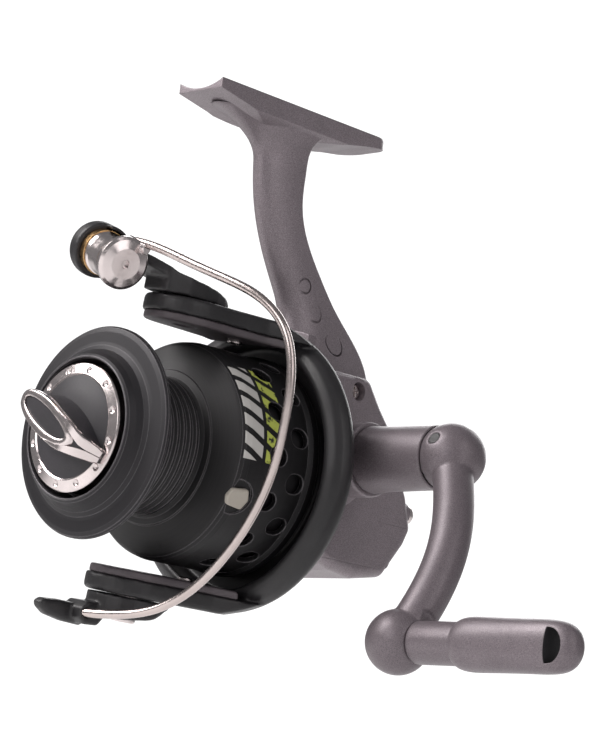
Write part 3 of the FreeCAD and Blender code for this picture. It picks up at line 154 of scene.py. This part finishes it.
# ---------------------------------------------------------------- materials
def painted_metal(name, colour, light, roughness, metallic, grain=5200.0, coat=0.12, edge_radius=0.0005):
    """Sprayed metallic paint: fine flakes, cloudy gloss, and edges worn a little lighter."""
    s = Shader(name)
    flakes = s.remap(s.noise(grain, 2.0), 0.36, 0.66)
    clouds = s.noise(70.0, 4.0)
    speckled = s.mix(flakes, colour, light)
    shade = s.mix(s.remap(clouds, 0.3, 0.7, 0.0, 0.16), speckled, (0.02, 0.018, 0.02, 1.0))
    normal, edge = s.rounded(edge_radius)
    worn = s.math("MULTIPLY", edge, s.remap(s.noise(900.0, 3.0), 0.35, 0.75, 0.05, 0.55))
    s.set(Base_Color=s.mix(worn, shade, light), Metallic=metallic, Coat_Weight=coat, Coat_Roughness=0.3)
    s.set(Roughness=s.remap(clouds, 0.25, 0.75, roughness - 0.05, roughness + 0.06))
    s.set(Normal=s.bump(s.noise(grain * 0.8, 2.0), 0.10, 0.00004, normal))
    return s.material


def moulded(name, colour, light, roughness, grain=2600.0, bump=0.08, coat=0.0, metallic=0.0):
    """Moulded plastic: a fine sparked texture, slight sheen changes, edges polished by use."""
    s = Shader(name)
    texture = s.noise(grain, 3.0)
    clouds = s.noise(90.0, 3.0)
    normal, edge = s.rounded(0.0004)
    tone = s.mix(s.remap(clouds, 0.3, 0.7, 0.0, 0.5), colour, light)
    s.set(Base_Color=s.mix(s.math("MULTIPLY", edge, 0.4), tone, light), Metallic=metallic, Coat_Weight=coat)
    s.set(Coat_Roughness=0.08, Roughness=s.remap(texture, 0.3, 0.7, roughness - 0.06, roughness + 0.06))
    s.set(Normal=s.bump(texture, bump, 0.00005, normal))
    return s.material


def bare_metal(name, colour, roughness, streak=(1, 1, 1), scale=1500.0, bump=0.04, edge_radius=0.00025):
    """Plated or polished metal: faint polishing marks and a slight haze that varies over it."""
    s = Shader(name)
    marks = s.noise(scale, 4.0, streak)
    haze = s.noise(160.0, 3.0)
    normal, edge = s.rounded(edge_radius)
    dull = tuple(0.62 * c for c in colour[:3]) + (1.0,)
    s.set(Base_Color=s.mix(s.remap(haze, 0.42, 0.8, 0.0, 0.35), colour, dull), Metallic=1.0)
    s.set(Roughness=s.remap(marks, 0.3, 0.7, roughness - 0.04, roughness + 0.07))
    s.set(Normal=s.bump(marks, bump, 0.00003, normal))
    return s.material


def felt_material():
    s = Shader("felt_fibres")
    fibres = s.noise(3500.0, 5.0, (1, 0.2, 1))
    s.set(Base_Color=s.mix(fibres, rgb(70, 62, 52), rgb(130, 118, 100)), Roughness=0.95, Sheen_Weight=0.4)
    s.set(Normal=s.bump(fibres, 0.6, 0.0001))
    return s.material


def spool_material():
    """Turned and anodised charcoal metal, with rows of plain slanted blocks on opposite sides of the skirt."""
    s = Shader("spool_anodised")
    x, y, z = s.split()
    radius = s.math("SQRT", s.math("ADD", s.math("MULTIPLY", x, x), s.math("MULTIPLY", z, z)))
    turned = s.node("ShaderNodeTexNoise", noise_dimensions="2D")
    across = s.node("ShaderNodeCombineXYZ")
    s.link(s.math("MULTIPLY", radius, TURNING_MARKS), across.inputs[0])
    s.link(s.math("MULTIPLY", y, TURNING_MARKS), across.inputs[1])
    s.link(across.outputs[0], turned.inputs["Vector"])
    turned.inputs["Scale"].default_value = 1.0
    rings = turned.outputs["Fac"]
    clouds = s.noise(60.0, 3.0)
    base = s.mix(s.remap(rings, 0.3, 0.7), rgb(18, 17, 19), rgb(26, 25, 27))
    flange = s.math("LESS_THAN", y, FLANGE_REAR)
    base = s.mix(s.math("MULTIPLY", flange, 0.7), base, rgb(36, 34, 38))
    normal, edge = s.rounded(0.0004)
    base = s.mix(s.math("MULTIPLY", edge, 0.55), base, rgb(150, 146, 150))

    # the printed band: a window in angle, filled with one row of silver and one row of lime slanted blocks
    turn = s.math("ARCTAN2", x, z)
    folded = s.math("PINGPONG", s.math("ADD", turn, 4 * math.pi - BAND_CENTRE), math.pi / 2)
    in_angle = s.math("LESS_THAN", folded, BAND_HALF)
    window = s.math("MULTIPLY", in_angle, s.math("GREATER_THAN", radius, BAND_MIN_R))
    slant = s.math("ADD", s.math("MULTIPLY", turn, BLOCKS_PER_RADIAN), s.math("MULTIPLY", y, BLOCK_SLANT))
    phase = s.math("FRACT", s.math("ADD", slant, KEEP_POSITIVE))
    block = s.math("MULTIPLY", s.math("LESS_THAN", phase, BLOCK_FILL), window)
    rows = []
    for middle, half_length in ((SILVER_Y, SILVER_HALF), (LIME_Y, LIME_HALF)):
        near = s.math("ABSOLUTE", s.math("SUBTRACT", y, middle))
        rows.append(s.math("MULTIPLY", s.math("LESS_THAN", near, half_length), block))
    silver, lime = rows
    worn = s.remap(s.noise(700.0, 3.0), 0.36, 0.46)
    inked = s.mix(s.math("MULTIPLY", silver, 0.9), base, rgb(190, 188, 184))
    inked = s.mix(s.math("MULTIPLY", s.math("MULTIPLY", lime, worn), 0.95), inked, rgb(176, 186, 84))
    printed = s.math("MAXIMUM", lime, silver)
    s.set(Base_Color=inked, Metallic=s.math("SUBTRACT", 0.45, s.math("MULTIPLY", printed, 0.4)))
    s.set(Roughness=s.remap(clouds, 0.3, 0.7, 0.46, 0.56), Coat_Weight=0.04, Coat_Roughness=0.35)
    s.set(Normal=s.bump(rings, 0.07, 0.00003, normal))
    tangent = s.node("ShaderNodeTangent", direction_type="RADIAL", axis="Y")
    s.set(Anisotropic=0.3, Tangent=tangent.outputs[0])
    return s.material


GUNMETAL = rgb(112, 103, 108)
GUNMETAL_LIGHT = rgb(150, 141, 146)
FINISHES = {
    "body_paint": painted_metal("gunmetal_paint", GUNMETAL, GUNMETAL_LIGHT, 0.46, 0.35),
    "spool_paint": spool_material(),
    "rotor_body": moulded("rotor_satin_black", rgb(24, 23, 25), rgb(42, 40, 43), 0.46, coat=0.04,
                          metallic=0.1),
    "black_gloss": moulded("knob_satin_black", rgb(34, 32, 36), rgb(52, 49, 54), 0.48, bump=0.04),
    "plated": bare_metal("bright_nickel", rgb(214, 205, 204), 0.17),
    "steel": bare_metal("polished_steel", rgb(196, 185, 182), 0.2),
    "brass": bare_metal("turned_brass", rgb(214, 174, 122), 0.20),
    "cast_zinc": bare_metal("cast_zinc", rgb(150, 150, 152), 0.42, scale=2600.0, bump=0.2),
    "nylon": moulded("white_nylon", rgb(222, 220, 212), rgb(236, 234, 228), 0.45),
    "clip_grey": moulded("clip_grey_plastic", rgb(158, 152, 142), rgb(176, 170, 160), 0.42),
    "felt": felt_material(),
}
COVER_GREY = moulded("arm_cover_grey", rgb(70, 64, 68), rgb(92, 84, 88), 0.5)
# A darker copy of the gunmetal paint for the crank's tube, arm, neck and grip: painted shade, because the same
# paint there takes too much of the key light.
SHADED_GUNMETAL = painted_metal("gunmetal_painted_shade", rgb(96, 88, 93), rgb(128, 119, 124), 0.47, 0.38)
# The fold pin takes the satin black as painted shade, standing for the dark of the hole it sits in.
NODE_FINISHES = {"fold_pin": FINISHES["rotor_body"], "handle_tube": SHADED_GUNMETAL}


def finish_cad_nodes():
    """Every CAD node takes its slot's finish, unless NODE_FINISHES names another for it."""
    for part in frame["record"]["subparts"]:
        obj = frame["nodes"][part["node"]]
        finish = FINISHES[part["material_slot"]]
        obj.data.materials.clear()
        obj.data.materials.append(NODE_FINISHES.get(part["node"], finish))


# ---------------------------------------------------------------- pieces shaped here
def put(name, mesh, body, finish, stands_for):
    """Adds a mesh to the scene as a piece that rides on a body and stands for a CAD node."""
    piece = bpy.data.objects.new(name, mesh)
    bpy.context.scene.collection.objects.link(piece)
    piece.data.materials.clear()
    piece.data.materials.append(finish)
    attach(piece, body)
    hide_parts(stands_for)
    return piece


def applied(piece):
    """Turns the piece's modifiers into plain mesh."""
    evaluated = piece.evaluated_get(bpy.context.evaluated_depsgraph_get())
    mesh = bpy.data.meshes.new_from_object(evaluated)
    piece.modifiers.clear()
    piece.data = mesh


MELT_FACTOR = 0.5
MOULDED = [
    # node, body, slot, voxel in millimetres, smoothing rounds, finish
    ("bail_arm", "bail", "rotor_body", 0.28, 24, FINISHES["rotor_body"]),
    ("bail_holder", "bail", "rotor_body", 0.28, 10, FINISHES["rotor_body"]),
    # the crank arm takes the darker gunmetal copy, which is painted shade
    ("handle_arm", "handle", "body_paint", 0.30, 8, SHADED_GUNMETAL),
    ("rotor", "rotor", "rotor_body", 0.45, 5, FINISHES["rotor_body"]),
    ("rotor_arm_cover_top", "rotor", "rotor_body", 0.30, 8, COVER_GREY),
    ("rotor_arm_cover_bottom", "rotor", "rotor_body", 0.30, 8, COVER_GREY),
    ("line_clip", "spool", "clip_grey", 0.16, 10, FINISHES["clip_grey"]),
]


def moulded_copy(node, body, slot, voxel, rounds, finish):
    """A copy of a CAD node whose hard edges are melted into fillets, as a mould or a casting leaves them."""
    piece = put(node + "_moulded", frame["nodes"][node].data.copy(), body, finish, node)
    remesh = piece.modifiers.new("voxels", "REMESH")
    remesh.mode = "VOXEL"
    remesh.voxel_size = voxel * MM
    smooth = piece.modifiers.new("melt", "SMOOTH")
    smooth.factor = MELT_FACTOR
    smooth.iterations = rounds
    applied(piece)
    piece.data.shade_smooth()
    return piece


def ring_of(x, half_height, half_depth, power, count=48):
    """Points of a rounded section across the grip: an ellipse that squares off as the power grows."""
    points = []
    for i in range(count):
        t = 2 * math.pi * i / count
        c, s = math.cos(t), math.sin(t)
        y = half_depth * math.copysign(abs(c) ** (2.0 / power), c)
        z = half_height * math.copysign(abs(s) ** (2.0 / power), s)
        points.append((x, y, z))
    return points


def lofted(rows, origin, name):
    """A closed skin through rounded sections, laid along +X from the origin."""
    shaper = bmesh.new()
    rings = []
    for row in rows:
        rings.append([shaper.verts.new([o + MM * c for o, c in zip(origin, p)]) for p in ring_of(*row)])
    for a, b in zip(rings, rings[1:]):
        for i in range(len(a)):
            j = (i + 1) % len(a)
            shaper.faces.new((a[i], a[j], b[j], b[i]))
    shaper.faces.new(list(reversed(rings[0])))
    shaper.faces.new(rings[-1])
    bmesh.ops.recalc_face_normals(shaper, faces=shaper.faces)
    mesh = bpy.data.meshes.new(name)
    shaper.to_mesh(mesh)
    shaper.free()
    return mesh


# distance from the crank's end ball, half height, half depth, squareness
NECK_ROWS = [(6.1, 4.5, 4.5, 2), (6.4, 4.85, 4.85, 2), (7.0, 4.9, 4.9, 2), (21.0, 4.9, 4.9, 2),
             (23.0, 4.7, 4.7, 2)]
GRIP_ROWS = [(17.8, 4.2, 3.9, 2), (18.2, 4.9, 4.6, 2), (19.2, 5.6, 5.2, 2), (21.0, 6.05, 5.5, 2.1),
             (23.5, 6.2, 5.5, 2.2), (29.0, 6.05, 5.2, 2.3), (35.0, 5.95, 4.9, 2.4), (41.0, 5.95, 4.7, 2.5),
             (45.0, 5.9, 4.5, 2.5), (48.2, 5.4, 4.1, 2.4), (50.2, 4.2, 3.2, 2.2), (51.3, 2.6, 2.0, 2.0),
             (51.7, 1.0, 0.8, 2.0)]
# the eye in its end: where its flat side is, how far the flat runs before the curve, and its sizes
EYE_FLAT_X, EYE_FLAT, EYE_R, EYE_DEPTH, EYE_REACH = 45.0, 0.6, 3.9, 3.5, 9.0
GRIP_START = 6.2                    # the crank's end ball is centred this far before the CAD grip's near end


def eye_cutter(origin):
    """A D-shaped bar that cuts the eye through the grip's end and leaves its black finish on the walls."""
    corner_x = EYE_FLAT_X + EYE_FLAT
    outline = [(EYE_FLAT_X, -EYE_R), (corner_x, -EYE_R)]
    for i in range(1, 12):
        t = math.radians(-90 + 15 * i)
        outline.append((corner_x + EYE_DEPTH * math.cos(t), EYE_R * math.sin(t)))
    outline += [(corner_x, EYE_R), (EYE_FLAT_X, EYE_R)]
    y = origin[1] - EYE_REACH * MM
    shaper = bmesh.new()
    near = [shaper.verts.new((origin[0] + x * MM, y, origin[2] + z * MM)) for x, z in outline]
    grown = bmesh.ops.extrude_face_region(shaper, geom=[shaper.faces.new(near)])
    moved = [v for v in grown["geom"] if isinstance(v, bmesh.types.BMVert)]
    bmesh.ops.translate(shaper, verts=moved, vec=(0, 2 * EYE_REACH * MM, 0))
    bmesh.ops.recalc_face_normals(shaper, faces=shaper.faces)
    mesh = bpy.data.meshes.new("eye_cutter")
    shaper.to_mesh(mesh)
    shaper.free()
    mesh.materials.append(FINISHES["black_gloss"])
    cutter = bpy.data.objects.new("eye_cutter", mesh)
    bpy.context.scene.collection.objects.link(cutter)
    return cutter


def make_grip():
    """The crank's grip: a round neck, a swelling grip with a shoulder, and a D-shaped eye through its end."""
    low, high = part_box("handle_knob")
    origin = (low.x - GRIP_START * MM, (low.y + high.y) / 2, (low.z + high.z) / 2)
    # The neck and grip take the darker gunmetal copy, which is painted shade.
    neck = put("handle_knob_neck", lofted(NECK_ROWS, origin, "neck"), "knob", SHADED_GUNMETAL,
               "handle_knob")
    neck.data.shade_smooth()
    grip = put("handle_knob_grip", lofted(GRIP_ROWS, origin, "grip"), "knob", SHADED_GUNMETAL,
               "handle_knob")
    subdivide = grip.modifiers.new("smooth_skin", "SUBSURF")
    subdivide.levels = 2
    subdivide.render_levels = 2
    applied(grip)
    cutter = eye_cutter(origin)
    cut = grip.modifiers.new("eye", "BOOLEAN")
    cut.object = cutter
    cut.solver = "EXACT"
    cut.material_mode = "TRANSFER"
    applied(grip)
    bpy.data.objects.remove(cutter)
    grip.data.shade_smooth()
    grip.data.set_sharp_from_angle(angle=math.radians(35))


# ---------------------------------------------------------------- the drag knob
# Millimetres.  The finger bar runs along u, turned by this angle about the main shaft; v runs across it.
BAR_ANGLE = math.radians(33.0)
# radius from the shaft and y of the dome's outline
DOME_ROWS = [(0.0, -75.2), (2.5, -75.15), (5.0, -75.0), (7.2, -74.75), (9.0, -74.4), (11.0, -73.9),
             (12.9, -73.5), (12.9, -66.6), (0.0, -66.6)]
FACETS = 96                         # round the dome, and round the eye of the bow
# u, and y of the bow's top there
CREST_ROWS = [(-12.6, -80.7), (-11.0, -81.25), (-6.0, -81.5), (2.0, -81.6), (6.0, -81.3), (8.0, -81.0),
              (10.6, -79.6), (12.8, -76.8), (14.2, -74.9)]
# u, and half width of the bar's top there
BAR_TOP_ROWS = [(-12.4, 0.0), (-11.9, 1.2), (-11.0, 2.1), (-9.0, 3.0), (-6.0, 3.75), (-2.0, 4.0), (2.0, 3.9),
                (5.0, 3.7), (8.0, 3.25), (10.5, 2.7), (12.5, 2.2), (14.1, 1.6)]
BAR_RISES = (0.0, 0.06, 0.14, 0.25, 0.4, 0.6, 0.8, 1.0)
BAR_STEPS = 40                      # points along each side of a ring
BAR_FLARE = 0.45                    # below 1, the bar's sides sweep out only near its base
BAR_BELOW_CREST = 0.55
LEAST_V = 0.02                      # keeps the two sides of a ring apart at its ends
BASE_HALF_LENGTH, BASE_HALF_WIDTH, BASE_Y = 12.7, 6.4, -73.6
# the eye of the bow: where its middle is, its outer and inner half sizes, and its section
EYE_U, EYE_OUT, EYE_IN = -1.6, (10.9, 4.25), (8.8, 2.3)
# share of the way from the outer edge to the inner, and how far below the crest
EYE_SECTION = [(0.0, 1.7), (0.0, 0.5), (0.12, 0.1), (0.3, 0.0), (0.75, 0.0), (0.95, 0.15), (1.0, 0.9),
               (0.9, 1.7)]
# u, outer and inner distance of a rail from the middle
RAIL_ROWS = [(2.0, 4.1, 3.6), (5.0, 3.95, 2.7), (7.0, 3.6, 1.9), (9.0, 3.1, 1.1), (10.8, 2.6, 0.3),
             (12.0, 2.3, 0.0), (13.4, 1.9, 0.0), (14.3, 1.4, 0.0)]


def between(rows, at):
    """Straight-line value of the table at the given place."""
    for (u0, v0), (u1, v1) in zip(rows, rows[1:]):
        if at <= u1:
            return v0 + (v1 - v0) * max(0.0, (at - u0)) / (u1 - u0)
    return rows[-1][1]


def knob_point(u, v, y):
    """The place in metres of a point given along the bar, across it and along the shaft."""
    c, s = math.cos(BAR_ANGLE), math.sin(BAR_ANGLE)
    return (MM * (u * c + v * s), MM * y, MM * (v * c - u * s))


def skin(name, rings, joined=False):
    """A closed mesh through equal rings of points; its ends are capped, or joined to each other."""
    shaper = bmesh.new()
    made = [[shaper.verts.new(p) for p in ring] for ring in rings]
    pairs = list(zip(made, made[1:]))
    if joined:
        pairs.append((made[-1], made[0]))
    for a, b in pairs:
        for i in range(len(a)):
            j = (i + 1) % len(a)
            shaper.faces.new((a[i], a[j], b[j], b[i]))
    if not joined:
        for ring in (made[0], made[-1]):
            half = len(ring) // 2
            for i in range(half - 1):
                shaper.faces.new((ring[i], ring[i + 1], ring[-2 - i], ring[-1 - i]))
    bmesh.ops.recalc_face_normals(shaper, faces=shaper.faces)
    mesh = bpy.data.meshes.new(name)
    shaper.to_mesh(mesh)
    shaper.free()
    mesh.shade_smooth()
    mesh.set_sharp_from_angle(angle=math.radians(38))
    return mesh


def bar_rings():
    """Rings of the finger bar, from its lens-shaped base up to the outline of the bow."""
    rings = []
    for rise in BAR_RISES:
        side = []
        for i in range(BAR_STEPS + 1):
            q = 0.5 - 0.5 * math.cos(math.pi * i / BAR_STEPS)
            low_u = BASE_HALF_LENGTH * (2 * q - 1)
            low_v = BASE_HALF_WIDTH * (1 - (2 * q - 1) ** 2) + LEAST_V
            top_u = BAR_TOP_ROWS[0][0] + q * (BAR_TOP_ROWS[-1][0] - BAR_TOP_ROWS[0][0])
            top_v = between(BAR_TOP_ROWS, top_u) + LEAST_V
            top_y = between(CREST_ROWS, top_u) + BAR_BELOW_CREST
            u = low_u + (top_u - low_u) * rise
            v = low_v + (top_v - low_v) * rise ** BAR_FLARE
            side.append((u, v, BASE_Y + (top_y - BASE_Y) * rise))
        mirrored = [(u, -v, y) for u, v, y in reversed(side)]
        rings.append([knob_point(*p) for p in side + mirrored])
    return rings


def eye_rings():
    """Rings round the bow's eye, each one a section across its band."""
    rings = []
    for i in range(FACETS):
        c, s = math.cos(2 * math.pi * i / FACETS), math.sin(2 * math.pi * i / FACETS)
        out = (EYE_U + EYE_OUT[0] * c, EYE_OUT[1] * s)
        into = (EYE_U + EYE_IN[0] * c, EYE_IN[1] * s)
        ring = []
        for share, drop in EYE_SECTION:
            u, v = (a + (b - a) * share for a, b in zip(out, into))
            ring.append(knob_point(u, v, between(CREST_ROWS, u) + drop))
        rings.append(ring)
    return rings


def rail_rings(side):
    """Sections along one rail, from beside the eye down to the rim."""
    rings = []
    for u, out, into in RAIL_ROWS:
        top = between(CREST_ROWS, u)
        corners = ((out, 1.6), (out, 0.45), (out - 0.2, 0.05), (into + 0.1, 0.05), (into, 0.45), (into, 1.6))
        rings.append([knob_point(u, side * v, top + drop) for v, drop in corners])
    return rings


def dome_mesh():
    """The knob's shallow dome, turned about the main shaft."""
    rings = []
    for i in range(FACETS):
        t = 2 * math.pi * i / FACETS
        rings.append([(MM * r * math.cos(t), MM * y, MM * r * math.sin(t)) for r, y in DOME_ROWS])
    dome = skin("drag_knob_dome", rings, True)
    cleaner = bmesh.new()
    cleaner.from_mesh(dome)
    bmesh.ops.remove_doubles(cleaner, verts=cleaner.verts, dist=0.001 * MM)
    cleaner.to_mesh(dome)
    cleaner.free()
    return dome


def make_drag_knob():
    """The drag knob: a dome, a flared finger bar across it, and a plated bow with two rails to the rim."""
    for name, mesh, slot, node in (
            ("drag_knob_dome", dome_mesh(), "black_gloss", "drag_knob"),
            ("drag_knob_bar", skin("drag_knob_bar", bar_rings()), "black_gloss", "drag_knob"),
            ("drag_knob_eye", skin("drag_knob_eye", eye_rings(), True), "plated", "drag_knob_loop"),
            ("drag_knob_rail_a", skin("drag_knob_rail_a", rail_rings(1)), "plated", "drag_knob_loop"),
            ("drag_knob_rail_b", skin("drag_knob_rail_b", rail_rings(-1)), "plated", "drag_knob_loop")):
        put(name, mesh, "drag_knob", FINISHES[slot], node)


# ---------------------------------------------------------------- stage, light and camera
FLOOR_HALF, FLOOR_Z = 6.0, -150.0 * MM


def make_floor():
    """A pale floor under the reel; from below it is clear, so that a low camera still sees the reel."""
    mesh = bpy.data.meshes.new("floor")
    shaper = bmesh.new()
    bmesh.ops.create_grid(shaper, x_segments=8, y_segments=8, size=FLOOR_HALF)
    shaper.to_mesh(mesh)
    shaper.free()
    floor = bpy.data.objects.new("floor", mesh)
    bpy.context.scene.collection.objects.link(floor)
    floor.location = (0, 0, FLOOR_Z)
    s = Shader("floor_pale")
    clouds = s.remap(s.noise(3.0, 2.0), 0.3, 0.7, 0.0, 0.3)
    s.set(Base_Color=s.mix(clouds, (0.9, 0.9, 0.9, 1.0), (0.8, 0.8, 0.8, 1.0)), Roughness=0.6)
    clear = s.node("ShaderNodeBsdfTransparent")
    choose = s.node("ShaderNodeMixShader")
    s.link(s.node("ShaderNodeNewGeometry").outputs["Backfacing"], choose.inputs[0])
    s.link(s.body.outputs[0], choose.inputs[1])
    s.link(clear.outputs[0], choose.inputs[2])
    s.link(choose.outputs[0], s.tree.nodes["Material Output"].inputs["Surface"])
    floor.data.materials.append(s.material)


def make_world():
    """An even white surround to look at, and a greyer one to light and be mirrored by the metal."""
    world = bpy.data.worlds.new("studio")
    bpy.context.scene.world = world
    world.use_nodes = True
    tree = world.node_tree
    seen = tree.nodes["Background"]
    seen.inputs["Color"].default_value = (1, 1, 1, 1)
    seen.inputs["Strength"].default_value = 1.15
    mirrored = tree.nodes.new("ShaderNodeBackground")
    mirrored.inputs["Strength"].default_value = 0.36
    gradient = tree.nodes.new("ShaderNodeTexGradient")
    mapping = tree.nodes.new("ShaderNodeMapping")
    coordinates = tree.nodes.new("ShaderNodeTexCoord")
    mapping.inputs["Rotation"].default_value = (0, math.radians(90), 0)
    mapping.inputs["Location"].default_value = (0.5, 0, 0)
    mapping.inputs["Scale"].default_value = (0.5, 0.5, 0.5)
    ramp = tree.nodes.new("ShaderNodeValToRGB")
    ramp.color_ramp.elements[0].color = (0.95, 0.93, 0.93, 1)
    ramp.color_ramp.elements[1].color = (0.5, 0.5, 0.52, 1)
    tree.links.new(coordinates.outputs["Generated"], mapping.inputs["Vector"])
    tree.links.new(mapping.outputs[0], gradient.inputs[0])
    tree.links.new(gradient.outputs["Fac"], ramp.inputs[0])
    tree.links.new(ramp.outputs[0], mirrored.inputs["Color"])
    mix = tree.nodes.new("ShaderNodeMixShader")
    path = tree.nodes.new("ShaderNodeLightPath")
    tree.links.new(path.outputs["Is Camera Ray"], mix.inputs[0])
    tree.links.new(mirrored.outputs[0], mix.inputs[1])
    tree.links.new(seen.outputs[0], mix.inputs[2])
    tree.links.new(mix.outputs[0], tree.nodes["World Output"].inputs["Surface"])


LIT_POINT = (0.0, -0.02, 0.0)


def softbox(name, place, width, height, watts, tint):
    """A soft rectangular light that faces the reel."""
    light = bpy.data.lights.new(name, "AREA")
    light.shape = "RECTANGLE"
    light.size, light.size_y = width, height
    light.energy = watts
    light.color = tint
    obj = bpy.data.objects.new(name, light)
    bpy.context.scene.collection.objects.link(obj)
    obj.location = place
    obj.rotation_mode = "QUATERNION"
    obj.rotation_quaternion = (Vector(LIT_POINT) - Vector(place)).to_track_quat("-Z", "Y")


# where the camera stands and how it is turned: its right, up and backward directions
CAMERA_PLACE = (466.06 * MM, -475.18 * MM, -89.11 * MM)
CAMERA_RIGHT = (0.72167, 0.68442, 0.10378)
CAMERA_UP = (0.04440, -0.19538, 0.97972)
CAMERA_BACK = (0.69082, -0.70242, -0.17139)
FOCAL_OVER_HEIGHT = 3.6


def make_camera():
    data = bpy.data.cameras.new("camera")
    data.sensor_fit = "AUTO"
    data.sensor_width = 36.0
    data.lens = FOCAL_OVER_HEIGHT * data.sensor_width
    data.clip_start, data.clip_end = 0.01, 50.0
    camera = bpy.data.objects.new("camera", data)
    bpy.context.scene.collection.objects.link(camera)
    turn = Matrix((CAMERA_RIGHT, CAMERA_UP, CAMERA_BACK)).transposed()
    camera.matrix_world = Matrix.Translation(CAMERA_PLACE) @ turn.to_4x4()
    bpy.context.scene.camera = camera


LIGHTS = [
    # name, place, width, height, watts, tint
    ("key", (-0.55, -0.78, 0.88), 0.8, 0.8, 21.0, (1.0, 0.97, 0.96)),
    ("fill", (0.25, -1.1, 0.35), 0.5, 0.5, 2.6, (1.0, 0.97, 0.97)),
    ("side", (1.1, -0.1, 0.45), 0.6, 1.0, 3.0, (1.0, 0.96, 0.96)),
    ("back", (-0.5, 0.9, 0.5), 0.9, 0.7, 7.0, (1, 1, 1)),
    ("below", (0.35, -0.5, -0.7), 0.9, 0.5, 1.2, (1, 1, 1)),
]


def light_the_stage():
    for row in LIGHTS:
        softbox(*row)
    make_world()
    scene = bpy.context.scene
    scene.view_settings.view_transform = "Standard"
    scene.view_settings.look = "None"


finish_cad_nodes()
make_grip()
for row in MOULDED:
    moulded_copy(*row)
make_drag_knob()
make_floor()
light_the_stage()
make_camera()
